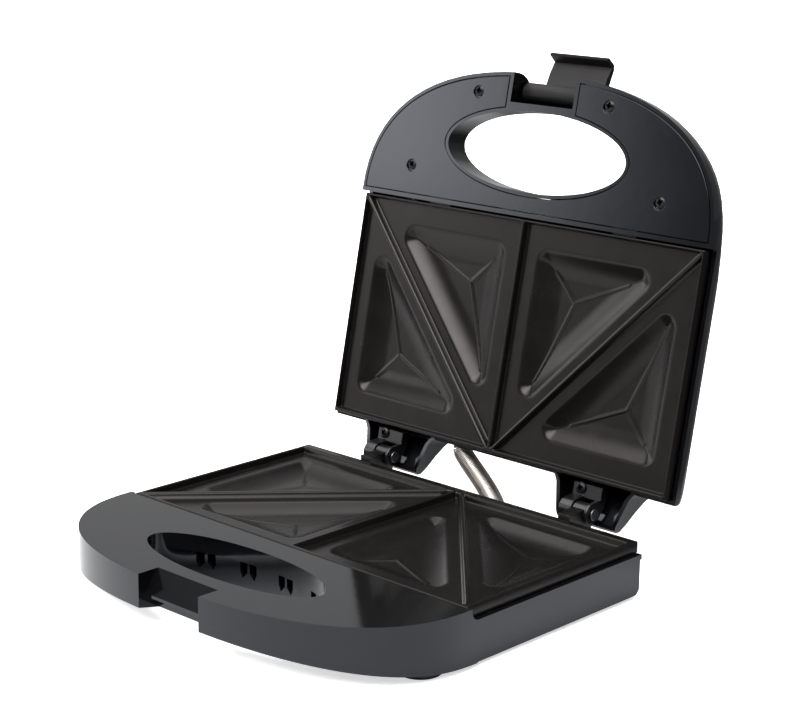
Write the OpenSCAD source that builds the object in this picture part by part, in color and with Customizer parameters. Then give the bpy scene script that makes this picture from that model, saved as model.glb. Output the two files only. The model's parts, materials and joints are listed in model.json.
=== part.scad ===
// Sandwich toaster: two hinged housings, each with a cast non-stick plate over a tubular heater.
// Pieces are drawn with the lid shut: X to the right, Y to the back, Z up, Z = 0 on the lower plate's rim.
// The last transforms open the lid and the latch and stand the feet on Z = 0.

/* [Cooking plates] */
// Width of each cooking plate
plate_w = 220; // [200:1:250]
// Depth of each cooking plate, front to back
plate_d = 119; // [105:1:140]
// Height of the rim and the cutting ribs above the plate's ground
rim_h = 3.2; // [2:0.1:4]
// Width of the rim at the front and the sides
rim_w = 2; // [1.5:0.1:3]
// Width of the rim along the back
rear_rim_w = 5; // [3:0.5:8]
// Width of the cutting ribs
rib_w = 2.4; // [1.6:0.1:4]
// Thickness of the cast plate
plate_t = 2.2; // [1.6:0.1:3]
// Height of the skirt round each plate
skirt_h = 5; // [4:0.2:6]
// Depth of the sandwich pockets below the rim
pocket_depth = 8; // [6:0.5:9]
// How far a pocket's wall leans in from its edge to its floor
pocket_run = 7; // [3:0.5:8]
// Corner radius of the pockets
pocket_r = 6; // [3:0.5:8]
// Ground left beside the pockets at the centre rib and the sides
pocket_side = 11; // [8:0.5:15]
// Ground left beside the pockets at the front and the back
pocket_end = 13.7; // [10:0.5:18]
// Ground left beside the pockets along the diagonal ribs
pocket_diag = 7.5; // [5:0.5:11]
// Gap between the two rims with the lid shut
plate_gap = 0.5; // [0.3:0.1:2]

/* [Housings] */
// Width of the housings across the handle
body_w = 226; // [210:1:260]
// Depth of the handle in front of the plates
handle_d = 72.5; // [65:0.5:85]
// Squareness of the handle's curve, 2 being an ellipse
handle_power = 2.42; // [2:0.02:3.2]
// Height of the base housing from its underside to the plate's rim
base_h = 25.5; // [24:0.5:34]
// Rise of the underside at the front of the handle
front_lift = 9.5; // [4:0.5:11]
// Height of the lid's dome over the plates
lid_h = 26.5; // [26:0.5:36]
// Height of the lid over the handle
lid_front_h = 16.5; // [16:0.5:22]
// Radius of the lid's rounded side edges
lid_edge_r = 22.5; // [16:0.5:24]
// Wall thickness of the housings
wall = 2.2; // [1.8:0.1:3]
// Height of the rubber feet
foot_h = 2; // [1.5:0.5:6]
// Radius of the rubber feet
foot_r = 10; // [7:0.5:12]

/* [Finger hole] */
// Half width of the finger hole
hole_a = 56; // [45:0.5:65]
// Half depth of the finger hole
hole_b = 19; // [15:0.5:22]
// Distance of the hole's centre in front of the plates
hole_front = 33.4; // [30:0.1:40]

/* [Latch] */
// Width of the latch notch
notch_w = 40; // [32:0.5:50]
// Depth of the notch in the base's front
notch_d = 12; // [10:0.5:14]
// Width of the latch clip
latch_w = 37; // [28:0.5:48]
// Radius of the latch's barrel
barrel_r = 5; // [4:0.1:6]
// Radius of the steel pin that the latch turns on
latch_pin_r = 1.5; // [1:0.1:2]
// Angle between the raised latch and the latched one
latch_swing = 120; // [90:1:125]

/* [Hinge] */
// Distance of the hinge axis behind the plates
hinge_back = 15.3; // [13:0.1:18]
// Angle between the open lid and the shut one
lid_swing = 101.6; // [80:0.1:105]
// Distance of each hinge from the middle
hinge_x = 66.5; // [55:0.5:85]
// Radius of the hinge pins
hinge_pin_r = 2; // [1.5:0.1:2.5]
// Radius of the lid's hinge knuckle
knuckle_r = 5.4; // [4.5:0.1:6]
// Width of the hood over each hinge
hood_w = 47.5; // [40:0.5:52]

/* [Fits] */
// Radial clearance of a turning pin
pin_play = 0.06; // [0.03:0.01:0.09]
// Gap between parts that move past each other
play = 0.6; // [0.4:0.1:1]
// Gap at a joint line between fixed parts
seam = 0.4; // [0.2:0.1:0.6]
// Radius of a self-tapping screw's shank
screw_r = 1.4; // [1.2:0.1:1.8]
// Radius of a screw's head
screw_head_r = 2.9; // [2.4:0.1:3.4]

/* [Heating] */
// Radius of the tubular heaters
heater_r = 3.2; // [2.5:0.1:3.6]
// Radius of the spring conduit between base and lid
conduit_r = 5; // [3.5:0.1:5.5]
// Radius of the cord's hole in the inlet bush
cord_hole_r = 3.6; // [2.5:0.1:4.5]

/* [Hidden] */

$fn = 48;
eps = 0.05; // overshoot of a cutting shape
big = 400; // larger than the toaster

half_w = body_w / 2;
hole_y = -hole_front;
stand_h = base_h + foot_h;

// Base housing
side_step = half_w - plate_w / 2 - wall; // the side wall, below the plate's edge, is this far in
lip_h = 2.4; // bead along the top of the side wall
curl = 4; // length over which the handle's top curls down to the bead
curl_edge = 1; // drop of the curl's first, sharp part
rear_round = 4; // radius of the base's lower rear edge
lip_top = skirt_h + play; // depth of the bead's top below the rim
base_back = plate_d - play; // outer face of the base's rear wall
arc_start = 10; // the underside is flat behind this line and curves up in front of it
arc_len = handle_d + arc_start;
arc_r = (arc_len * arc_len + front_lift * front_lift) / (2 * front_lift);
bay_front = 1; // gap between the plates and the wall in front of them
cover_in = 1; // the bottom cover is set this far into the base
cover_t = 2;
sleeve_h = 8; // length of the upper part of the finger hole's sleeve
sleeve_step = 1.5; // the lower sleeve is this much wider
hole_lip = 1.2; // the lid's hole is this much wider than the base's

// Latch and its notch; the pivot is given in the shut toaster
ramp_h = 10; // drop of the notch's ramp
ramp_lip = 1.4; // thickness of the lip that the hook grips
pivot_y = -handle_d + 9.3;
pivot_z = plate_gap + 11.5;
lip_y = -handle_d + 4.2; // front edge of the ramp's lip
lip_z = -ramp_h - ramp_lip; // underside of the lip

// Lid shell
lid_back = plate_d + 1.9; // outer face of the lid's rear wall
lid_rear_r = 8; // radius of the lid's rear top edge
lid_flat = lid_h - lid_edge_r; // height of the upright part of the lid's sides
rise_y = [-22, 22]; // the lid's top rises from the handle to the dome between these lines
grip_round = [4.4, 5]; // depth and width of the bevel round the far side of the lid's finger hole
lid_edge = skirt_h + play; // height of the side wall's edge over the lid's rim plane
inner_t = 2.4; // thickness of the handle's inner cover
rim_t = 1.8; // rim of the shell round the inner cover
groove = 0.5; // shadow line round the inner cover
cover_screws = [[half_w - 71.2, -handle_d + 12.4], [half_w - 32.7, -18]];

// Hinge, in the shut toaster
hinge_y = plate_d + hinge_back;
hood_in = hinge_x - 1.2 - hood_w / 2; // inner face of the right hood
ear_l = [-12.4, -5.4]; // outer and inner face of the lid's knuckle, from the hinge's middle
ear_r = [3.1, 4.9]; // faces of the lid's end plate
knuckle = [-4.8, 2.5]; // faces of the base's knuckle
base_knuckle_r = knuckle_r - 0.8;
foot_x = [-13, 10]; // ends of the base bracket's flange
flange_z = [-17, -lip_top - 0.2];
flange_t = 2.5;
flange_screws = [-9, 5.9];
flange_screw_z = -11.5;
hood_tip = [5.6, 3.3]; // lower edge of a hood behind and above the hinge, with the lid shut
stop_y = hinge_y + cos(lid_swing) * hood_tip[0] + sin(lid_swing) * hood_tip[1] - 0.1;
stop_z = -8; // underside of the nose below the base's knuckle that the hood's edge lands on
bracket_y = [lid_back + 0.7, lid_back + 7.5];
bracket_z = [4.4, 9.4];
bracket_screw = [-7.7, lid_back + 3.7];
head_h = 1.6; // height of a screw's head

// Inside
ground_z = -rim_h - plate_t; // underside of the plate's ground
floor_z = -pocket_depth - plate_t; // underside of the pockets
posts = [[plate_w / 2 - 18, 18], [plate_w / 2 - 18, plate_d - 9.2]];
post_r = 4;
tray_z = -19.5; // underside of the reflector
tray_t = 0.6;
tray_x = plate_w / 2 - 12; // half width of the reflectors
tray_y = [8, plate_d - 5];
heater_x = plate_w / 2 - 38;
heater_y = [30, plate_d - 25];
heater_bend = 12;
heater_end = [14, 7]; // ends of the sheath and of the terminal pin, from the middle
heater_z = floor_z - heater_r - 0.05;
lug_x = plate_w / 2 - 50;
lug_y = -7.5;
lug_z = 4.4;
hook_x = plate_w / 2 - 9;
slot_x = plate_w / 2 - 50; // the outermost air slots in the bottom cover
feet = [[half_w - 15, -16], [half_w - 15, plate_d - 14]];
lamp_x = 15;
lamp_y = -7.8;
lamp_r = 2.4;
lamp_z = 8; // foot of the lamps
lens_t = 5.2; // length of the lamps' lenses in the lid
block_x = [28, 50]; // ends and sides of the terminal block
block_y = [plate_d - 14, plate_d - 5.5];
rib_reach = 4; // ribs inside the base that carry the plate
base_exit = [18.6, -13]; // where the conduit leaves the base, x and z
lid_exit = [-25.6, 11.2]; // where it leaves the lid, x and height over the lid's rim plane
conduit_reach = [17.4, 4]; // its curve's handles at the base and the lid
inlet = [-20, -14]; // where the cord enters, x and z
bush_in = base_back - wall - 3; // inner end of the cord's bush

// The rest pose stands behind and above the shut one, and the origin is under the middle of it
tip = [-handle_d - 9, pivot_z + 18.6]; // outermost corner of the raised latch, in the shut lid
rest_back = hinge_y + cos(lid_swing) * (tip[0] - hinge_y) + sin(lid_swing) * tip[1];
mid_y = (rest_back - handle_d) / 2;

// ---- helpers ----

module place() translate([0, -mid_y, stand_h]) children();
module open_lid() place() translate([0, hinge_y, 0]) rotate([-lid_swing, 0, 0])
    translate([0, -hinge_y, plate_gap]) children();
module both(v) for (s = [-1, 1]) translate([s * v[0], v[1], len(v) > 2 ? v[2] : 0]) children();
module mirrored() for (s = [0, 1]) mirror([s, 0, 0]) children();
module span_x(a, b) translate([a, 0, 0]) rotate([90, 0, 90]) linear_extrude(b - a) children();
module rod_x(a, b, r, at = [0, 0]) translate([a, at[0], at[1]]) rotate([0, 90, 0]) cylinder(h = b - a, r = r);
module rod_y(a, b, r) translate([0, a, 0]) rotate([-90, 0, 0]) cylinder(h = b - a, r = r);
module slab(x, y, z) translate([x[0], y[0], z[0]]) cube([x[1] - x[0], y[1] - y[0], z[1] - z[0]]);
module boss(r, low, high) translate([0, 0, low]) cylinder(h = high - low, r = r);

// Outline of the handle and the sides, moved in by d, with the back at y = back
function squared(a, p) = sign(a) * pow(abs(a), 2 / p);
module outline(d, back, w = half_w) polygon(concat(
    [for (a = [180:3:360]) [(w - d) * squared(cos(a), handle_power),
        (handle_d - d) * squared(sin(a), handle_power)]],
    [[w - d, back], [d - w, back]]));
module oval(grow) translate([0, hole_y]) scale([1, (hole_b + grow) / (hole_a + grow)])
    circle(hole_a + grow, $fn = 96);
module oval_wall(low, high, grow, t) translate([0, 0, low]) linear_extrude(high - low)
    difference() { oval(grow + t); oval(grow); }

// Screw with a cross recess, point up, the head's underside at Z = 0
module screw(length) {
    difference() {
        translate([0, 0, -head_h]) cylinder(h = head_h, r = screw_head_r);
        for (a = [0, 90]) rotate(a) translate([-1.6, -0.35, -head_h - eps]) cube([3.2, 0.7, 1]);
    }
    cylinder(h = length, r = screw_r);
}

// Round-sided tube along a list of points
function unit(v) = v / norm(v);
function tangent(p, i) = unit(p[min(i + 1, len(p) - 1)] - p[max(i - 1, 0)]);
function ring(p, i, r, n) = let (t = tangent(p, i), s = unit(cross(t, [0.31, 0.17, 0.93])), u = cross(t, s))
    [for (k = [0:n - 1]) p[i] + r * (cos(360 * k / n) * s + sin(360 * k / n) * u)];
module tube(p, r, n = 8) polyhedron(
    points = [for (i = [0:len(p) - 1]) each ring(p, i, r, n)],
    faces = concat([[for (k = [0:n - 1]) k]], [[for (k = [n - 1:-1:0]) (len(p) - 1) * n + k]],
        [for (i = [0:len(p) - 2], k = [0:n - 1]) let (l = (k + 1) % n)
            [i * n + k, (i + 1) * n + k, (i + 1) * n + l, i * n + l]]));
function bezier(a, b, c, d, t) =
    pow(1 - t, 3) * a + 3 * pow(1 - t, 2) * t * b + 3 * (1 - t) * t * t * c + pow(t, 3) * d;
// Curve through given points, for leads
function spline(p, n) = [for (i = [0:len(p) - 2], k = [0:n - 1]) let (t = k / n,
    a = p[max(i - 1, 0)], b = p[i], c = p[i + 1], d = p[min(i + 2, len(p) - 1)])
    0.5 * (2 * b + (c - a) * t + (2 * a - 5 * b + 4 * c - d) * t * t + (3 * b - a - 3 * c + d) * t * t * t)];

// ---- cooking plates ----

// Three corners of a pocket: the inner one lies by the handle, the outer one by the hinge
diag = norm([plate_w / 2, plate_d]) / (plate_w / 2 * plate_d);
function on_diag(x, off) = plate_d * (1 + off * diag - x / (plate_w / 2));
function diag_x(y, off) = plate_w / 2 * (1 + off * diag - y / plate_d);
inner_pocket = [[pocket_side, pocket_end], [diag_x(pocket_end, -pocket_diag), pocket_end],
    [pocket_side, on_diag(pocket_side, -pocket_diag)]];
far_x = plate_w / 2 - pocket_side - 0.7;
far_y = plate_d - pocket_end;
outer_pocket = [[far_x, far_y], [diag_x(far_y, pocket_diag), far_y], [far_x, on_diag(far_x, pocket_diag)]];
function centre(t) = (t[0] + t[1] + t[2]) / 3;
module soft(t, d) offset(r = pocket_r, $fn = 24) offset(delta = -pocket_r - d) polygon(t);
module pocket(t) {
    c = centre(t);
    shrink = 1 - pocket_run / norm(t[0] - c);
    difference() {
        translate([c[0], c[1], -pocket_depth]) mirror([0, 0, 1]) translate([0, 0, -pocket_depth - eps])
            linear_extrude(pocket_depth + eps, scale = shrink) translate(-c) soft(t, 0);
        crease(t);
    }
}
// Three thin ridges that meet in the middle of a pocket's floor
module crease(t) for (p = t) {
    c = centre(t);
    v = 0.55 * (p - c);
    translate([c[0], c[1], -pocket_depth - eps]) rotate(atan2(v[1], v[0]))
        translate([0, -0.5, 0]) cube([norm(v), 1, 0.8 + eps]);
}
module quadrant() {
    pocket(inner_pocket);
    pocket(outer_pocket);
}
module rib(a, b) {
    v = b - a;
    translate([a[0], a[1], ground_z + eps]) rotate(atan2(v[1], v[0])) translate([0, -rib_w / 2, 0])
        cube([norm(v), rib_w, -ground_z - eps]);
}
// The plate faces up with its rim on Z = 0
module plate() {
    difference() {
        union() {
            slab([-plate_w / 2, plate_w / 2], [0, plate_d], [ground_z, 0]);
            for (t = [inner_pocket, outer_pocket]) mirrored()
                translate([0, 0, floor_z]) linear_extrude(-floor_z - 1) soft(t, -0.5);
        }
        difference() {
            slab([rim_w - plate_w / 2, plate_w / 2 - rim_w], [rim_w, plate_d - rear_rim_w], [-rim_h, eps]);
            rib([0, 0], [0, plate_d]);
            for (s = [-1, 1]) rib([s * plate_w / 2, 0], [0, plate_d]);
        }
        mirrored() intersection() {
            quadrant();
            slab([0, plate_w / 2], [0, plate_d], [-pocket_depth, -rim_h + eps]);
        }
    }
}
// Post under a plate, down to the reflector
module post() translate([0, 0, tray_z + tray_t]) difference() {
    cylinder(h = ground_z + 1 - tray_z - tray_t, r = post_r);
    translate([0, 0, -eps]) cylinder(h = 9, r = screw_r);
}
module lower_plate() color("#2b292a") place() {
    plate();
    for (p = posts) both(p) post();
}
module upper_plate() color("#2b292a") open_lid() {
    mirror([0, 0, 1]) {
        plate();
        for (p = posts) both(p) post();
    }
    // Front lugs for the screws under the handle's cover
    both([lug_x, lug_y]) difference() {
        slab([-7, 7], [-4.5, -lug_y + eps], [lug_z, lug_z + 2.2]);
        translate([0, 0, lug_z - eps]) cylinder(h = 3, r = screw_r + 0.3);
    }
    // Hooks that reach into the shell's rear wall
    both([hook_x, plate_d - 4.5]) {
        slab([-5, 5], [0, 2.4], [-ground_z - eps, 9.4]);
        slab([-5, 5], [0, 5.2], [7.2, 9.4]);
    }
}

// ---- heating ----

module heater_path() {
    x = heater_x - heater_bend;
    y0 = heater_y[0] + heater_bend;
    y1 = heater_y[1] - heater_bend;
    translate([0, heater_y[0], 0]) rod_x(-x, x, heater_r);
    mirrored() {
        translate([x, y0, 0]) rotate(-90) rotate_extrude(angle = 90) translate([heater_bend, 0])
            circle(heater_r);
        translate([heater_x, 0, 0]) rod_y(y0, y1, heater_r);
        translate([x, y1, 0]) rotate_extrude(angle = 90) translate([heater_bend, 0]) circle(heater_r);
        translate([0, heater_y[1], 0]) rod_x(heater_end[0], x, heater_r);
        translate([0, heater_y[1], 0]) rod_x(heater_end[1], heater_end[0], heater_r / 2);
        translate([3.4, heater_y[1] - 3.1, -0.4]) cube([5, 6.2, 0.8]);
    }
}
module tray() difference() {
    union() {
        slab([-tray_x, tray_x], tray_y, [tray_z, tray_z + tray_t]);
        both([heater_x, 0]) slab([-2, 2], [44, plate_d - 40], [tray_z + tray_t - eps, heater_z - heater_r]);
    }
    for (p = posts) both(p) translate([0, 0, tray_z - 1]) cylinder(h = 3, r = screw_r + 0.3);
    slab([-30, block_x[1] + 2], [block_y[0] - 2, plate_d], [tray_z - 1, tray_z + 2]);
}
module lower_heater() color("#6f6a66") place() translate([0, 0, heater_z]) heater_path();
module upper_heater() color("#6f6a66") open_lid() translate([0, 0, -heater_z]) heater_path();
module lower_reflector() color("#b9bcc0") place() tray();
module upper_reflector() color("#b9bcc0") open_lid() mirror([0, 0, 1]) tray();
module thermostat() color("#d9d5cc") place() translate([0, plate_d / 2, ground_z]) {
    translate([0, 0, -8]) cylinder(h = 8, r = 7.8);
    for (s = [-1, 1]) translate([s * 5 - 1.6, -0.4, -12.5]) cube([3.2, 0.8, 4.6]);
}
module thermal_fuse() color("#e8e4da") place() translate([0, plate_d / 2 + 20, ground_z - 2]) rod_x(-7, 7, 2);
module terminal_block() color("#efece4") place() difference() {
    slab(block_x, block_y, [-base_h + cover_in + cover_t, -13.5]);
    for (x = [4:6:16]) translate([block_x[0] + x + 1, (block_y[0] + block_y[1]) / 2, -16])
        cylinder(h = 3, r = 1.8);
}

// ---- base ----

module underside(up) {
    translate([0, arc_start, arc_r - base_h]) rotate([0, 90, 0])
        cylinder(h = big, r = arc_r - up, center = true, $fn = 256);
    slab([-big, big], [arc_start, base_back - rear_round], [up - base_h, big]);
    slab([-big, big], [arc_start, big], [rear_round - base_h, big]);
    rod_x(-big, big, rear_round - up, [base_back - rear_round, rear_round - base_h]);
}
module base_body(d, up) intersection() {
    translate([0, 0, -base_h]) {
        linear_extrude(base_h) outline(d, 0);
        linear_extrude(base_h - lip_top) outline(d, curl);
        linear_extrude(base_h - lip_top - lip_h) outline(d, base_back - d, half_w - side_step);
        translate([0, 0, base_h - lip_top - lip_h]) linear_extrude(lip_h) outline(d, base_back - d);
    }
    underside(up);
}
// Beside the plate's front corners the handle's top curls down to the bead
module corner_curl() mirrored() span_x(plate_w / 2 + play / 2, half_w) polygon(concat(
    [[-eps, -lip_top - eps], [-eps, 0], [0, -curl_edge]],
    [for (a = [10:10:90]) [curl * (1 - cos(a)), -curl_edge - (lip_top - curl_edge) * sin(a)]],
    [[curl, -lip_top - eps]]));
// Wedge of the latch's notch, with the ramp that lifts the hook over the lip
module notch_cut(w) span_x(-w / 2, w / 2) polygon([[-handle_d - 5, 1], [-handle_d + notch_d, 1],
    [-handle_d + notch_d, 0], [lip_y, -ramp_h], [lip_y, lip_z], [-handle_d + notch_d, lip_z],
    [-handle_d + notch_d, -big], [-handle_d - 5, -big]]);
module notch_box(w) span_x(-w / 2, w / 2) polygon([[-handle_d - 5, 1], [-handle_d + notch_d + wall, 1],
    [-handle_d + notch_d + wall, -big], [-handle_d - 5, -big]]);
module base_housing() color("#3a3a3c") place() difference() {
    union() {
        difference() {
            base_body(0, 0);
            // Hollow, open below, in front of and behind the wall at the plate's edge
            translate([0, 0, -big - wall]) linear_extrude(big) intersection() {
                outline(wall, 0);
                translate([-big, -big - bay_front - wall]) square([2 * big, big]);
            }
            translate([0, 0, -big]) linear_extrude(big + 1) intersection() {
                outline(wall, base_back - wall, half_w - side_step);
                translate([-big, -bay_front]) square([2 * big, big]);
            }
            translate([0, 0, tray_z - big]) linear_extrude(big) {
                outline(wall, 0);
                outline(wall, 20, half_w - side_step);
            }
        }
        corner_curl();
        // Ribs that the plate rests on, and that rest on the bottom cover
        for (y = [12, plate_d - 36]) mirrored() translate([plate_w / 2 - rib_reach, y])
            slab([0, rib_reach + 1], [0, 2.5], [-base_h + cover_in + cover_t, ground_z]);
        // Sleeve of the finger hole
        oval_wall(-sleeve_h, -wall + eps, 0, wall);
        // Walls of the latch's notch
        intersection() {
            difference() {
                base_body(0, 0);
                slab([-big, big], [-handle_d + notch_d + wall, big], [-big, big]);
            }
            notch_box(notch_w + 2 * wall);
        }
        // Bosses for the hinge brackets' screws
        for (c = [-hinge_x, hinge_x], x = flange_screws) translate([c + x, 0, flange_screw_z])
            rod_y(base_back - 9, base_back - eps, 3.2);
    }
    translate([0, 0, -big + 1]) linear_extrude(big) oval(0);
    notch_cut(notch_w);
    for (c = [-hinge_x, hinge_x], x = flange_screws) translate([c + x, 0, flange_screw_z])
        rod_y(base_back - 8, base_back + 1, screw_r);
    // Holes for the conduit and the cord's bush
    translate([base_exit[0], 0, base_exit[1]]) rod_y(base_back - 5, base_back + 1, conduit_r + 0.3);
    translate([inlet[0], 0, inlet[1]]) rod_y(base_back - 5, base_back + 1, cord_hole_r + 1.4);
}
module base_bottom_cover() color("#2f2f31") place() difference() {
    union() {
        intersection() {
            difference() {
                base_body(wall + seam, cover_in);
                base_body(wall + seam - 1, cover_in + cover_t);
            }
            difference() {
                slab([-big, big], [-big, big], [-big, -7]);
                slab([-notch_w / 2 - wall - seam, notch_w / 2 + wall + seam],
                    [-big, -handle_d + notch_d + wall + seam], [-big, 0]);
                mirrored() slab([half_w - side_step - wall - seam, big], [-seam, big], [-big, 0]);
            }
        }
        // Lower part of the finger hole's sleeve
        intersection() {
            oval_wall(-base_h, -sleeve_h - seam, sleeve_step, cover_t);
            underside(cover_in);
        }
        for (p = posts) both(p) boss(6, -base_h + cover_in, tray_z);
        for (f = feet) both(f) boss(foot_r + 1, -base_h, -base_h + cover_in + cover_t);
    }
    translate([0, 0, -big + 1]) linear_extrude(big) oval(sleeve_step);
    for (p = posts) both(p) {
        translate([0, 0, -base_h - 1]) cylinder(h = 1 + cover_in + head_h + 0.4, r = screw_head_r + 0.4);
        translate([0, 0, -base_h]) cylinder(h = base_h, r = screw_r + 0.3);
    }
    for (f = feet) both(f) translate([0, 0, -base_h - 1]) cylinder(h = base_h, r = 3);
    // Air slots under the heater, and round the finger hole
    for (x = [-slot_x:slot_x / 4:slot_x], y = [38, plate_d - 37])
        translate([x - 1.5, y - 12, -base_h]) cube([3, 24, 5]);
    for (x = [-37, -12.5, 12.5, 37]) vent(x);
}
// Pointed slot, split by a bar, in the sleeve's rear wall
module vent(x) for (s = [-2.9, 2.9]) translate([x + s, hole_y, -sleeve_h - seam]) rotate([-90, 0, 0])
    linear_extrude(hole_b + 8) polygon([[-2.2, -eps], [2.2, -eps], [2.2, 5], [s / 4, 8], [-2.2, 5]]);
module rubber_feet() color("#1c1c1d") place() for (f = feet) both(f) {
    translate([0, 0, -stand_h]) cylinder(h = foot_h, r = foot_r);
    translate([0, 0, -base_h - eps]) cylinder(h = cover_in + cover_t + 1, r = 2.9);
}
module base_screws() color("#8d8f92") place() for (p = posts) both(p)
    translate([0, 0, -base_h + cover_in + head_h + 0.4]) screw(10);
module cord_inlet_bush() color("#1c1c1d") place() translate([inlet[0], 0, inlet[1]]) difference() {
    union() {
        rod_y(bush_in, base_back + 2, cord_hole_r + 1.4);
        rod_y(base_back, base_back + 2, cord_hole_r + 3.4);
        rod_y(bush_in, base_back - wall, cord_hole_r + 2.4);
    }
    rod_y(base_back - 20, base_back + 20, cord_hole_r);
}

// ---- hinges ----

module base_bracket() difference() {
    union() {
        slab(foot_x, [base_back, base_back + flange_t], flange_z);
        span_x(knuckle[0], knuckle[1]) {
            hull() {
                translate([hinge_y, 0]) circle(base_knuckle_r - 1.6);
                translate([base_back + 1, -6.6]) square([2, 8.6]);
            }
            polygon([[base_back + 1, -14], [base_back + 1, -5], [hinge_y - 7, -4]]);
            polygon([[hinge_y - 7, -4], [hinge_y - 3, -1], [stop_y, -1], [stop_y, stop_z],
                [stop_y - 3, stop_z]]);
        }
        rod_x(knuckle[0], knuckle[1], base_knuckle_r, [hinge_y, 0]);
    }
    translate([0, hinge_y, 0]) rod_x(knuckle[0] - 1, knuckle[1] + 1, hinge_pin_r);
    for (x = flange_screws) translate([x, 0, flange_screw_z])
        rod_y(base_back - 1, base_back + 9, screw_r + 0.3);
}
module base_hinge_bracket_left() color("#343436") place() translate([-hinge_x, 0, 0]) base_bracket();
module base_hinge_bracket_right() color("#343436") place() translate([hinge_x, 0, 0]) base_bracket();
module base_hinge_screws() color("#8d8f92") place() for (c = [-hinge_x, hinge_x], x = flange_screws)
    translate([c + x, base_back + flange_t, flange_screw_z]) rotate([90, 0, 0]) screw(flange_t + 7);
module hinge_pins() color("#c9ccd0") place() for (c = [-hinge_x, hinge_x]) translate([c, hinge_y, 0]) {
    rod_x(ear_l[0] - 0.5, ear_r[1] + 0.3, hinge_pin_r);
    rod_x(ear_r[1] + 0.3, ear_r[1] + 1.3, hinge_pin_r + 1);
}
module lid_bracket() difference() {
    union() {
        slab([ear_l[0], ear_r[1]], bracket_y, bracket_z);
        for (e = [[ear_l, knuckle_r], [ear_r, knuckle_r]]) span_x(e[0][0], e[0][1]) hull() {
            translate([hinge_y, 0]) circle(e[1]);
            translate([bracket_y[1] - 0.9, bracket_z[0]]) square([0.9, bracket_z[1] - bracket_z[0]]);
        }
    }
    translate([0, hinge_y, 0]) rod_x(ear_l[0] - 1, ear_r[1] + 1, hinge_pin_r + pin_play);
    translate([bracket_screw[0], bracket_screw[1], 0]) cylinder(h = 20, r = screw_r + 0.3);
}
module in_lid() open_lid() translate([0, 0, -plate_gap]) children();
module lid_hinge_bracket_left() color("#343436") in_lid() translate([-hinge_x, 0, 0]) lid_bracket();
module lid_hinge_bracket_right() color("#343436") in_lid() translate([hinge_x, 0, 0]) lid_bracket();
module lid_hinge_screws() color("#8d8f92") in_lid() for (c = [-hinge_x, hinge_x])
    translate([c + bracket_screw[0], bracket_screw[1], bracket_z[0]]) screw(9);

// ---- lid ----

function lid_top(y) = let (t = min(max((y - rise_y[0]) / (rise_y[1] - rise_y[0]), 0), 1))
    lid_front_h + (lid_h - lid_front_h) * (1 - cos(180 * t)) / 2;
// Stations along the right half of the dome's rim, from the front's middle to the back corner: the point's
// shares of the handle's two half axes, its way behind them, and the dome's height there
function stations(d) = concat(
    [for (a = [0:5:90]) let (y = -squared(cos(a), handle_power))
        [squared(sin(a), handle_power), y, 0, lid_top(y * handle_d) - d]],
    [for (k = [1:5]) let (y = rise_y[1] * k / 5) [1, 0, y, lid_top(y) - d]],
    [for (a = [0:22.5:90]) [1, 0, lid_back - lid_rear_r + (lid_rear_r - d) * sin(a),
        lid_h - lid_rear_r + (lid_rear_r - d) * cos(a)]]);
// The stations at one angle of the rounded edge
function contour(d, angle) = [for (p = stations(d)) let (r = p[3] - lid_flat, q = r * (1 - cos(angle)))
    [p[0] * (half_w - d - q), p[1] * (handle_d - d - q) + p[2], lid_flat + r * sin(angle)]];
function loop(half) = concat(half, [for (i = [len(half) - 1:-1:1]) [-half[i][0], half[i][1], half[i][2]]]);
// The dome over the handle and the plates, moved in by d
module dome(d) {
    foot = [for (p = contour(d, 0)) [p[0], p[1], 0]];
    rings = concat([loop(foot)], [for (angle = [0:15:90]) loop(contour(d, angle))]);
    n = len(rings[0]);
    half = len(foot);
    top = len(rings) * n - n;
    polyhedron(points = [for (r = rings) each r], faces = concat([[for (i = [0:n - 1]) i]],
        [for (k = [0:len(rings) - 2], i = [0:n - 1], t = [0, 1]) let (j = (i + 1) % n, a = k * n, b = a + n)
            t == 0 ? [b + i, b + j, a + j] : [b + i, a + j, a + i]],
        [[top, top + n - 1, top + 1]],
        [for (i = [1:half - 2]) [top + i, top + n - i, top + n - i - 1, top + i + 1]]));
}
// Side view of a hood, in the shut toaster
hood = [[lid_back - 1.6, 5.3], [lid_back + 0.6, 4.8], [hinge_y + 3.2, 2.7],
    [hinge_y + hood_tip[0], hood_tip[1]],
    [hinge_y + 6.8, 5.2], [hinge_y + 6.4, 7.6], [hinge_y + 2.5, 10.6], [hinge_y - 3.5, 13.9],
    [lid_back + 4.5, 17.8], [lid_back + 1.2, 21.2], [lid_back - 1.6, 24.5]];
hood_taper = 6.8; // each side of a hood leans in this far from the lid to the tip
hood_waist = 1.4; // part of that lean just behind the lid
hood_flare = 3; // each side spreads this far where it joins the lid
// Plan of a hood, its wall moved in by d
module hood_plan(d) linear_extrude(2 * big, center = true) polygon(concat(
    [for (e = [[-hood_flare, -1.6], [-0.4, 0.3], [hood_waist, 3], [hood_taper, 22]])
        [d + e[0], lid_back + e[1]]],
    [for (e = [[hood_taper, 22], [hood_waist, 3], [-0.4, 0.3], [-hood_flare, -1.6]])
        [hood_w - d - e[0], lid_back + e[1]]]));
module hood_wall() difference() {
    intersection() {
        span_x(-hood_flare, hood_w + hood_flare) polygon(hood);
        hood_plan(0);
    }
    intersection() {
        span_x(-hood_flare, hood_w + hood_flare) {
            offset(delta = -wall) polygon(hood);
            polygon([[lid_back - 8, -5], [lid_back - 8, 18], [hinge_y + 1, 8], [hinge_y + 4.4, 5.6],
                [hinge_y + 4.4, -5]]);
        }
        hood_plan(wall);
    }
    rod_x(wall + hood_taper, hood_w - wall - hood_taper, knuckle_r + 0.8, [hinge_y, 0]);
}
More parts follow.
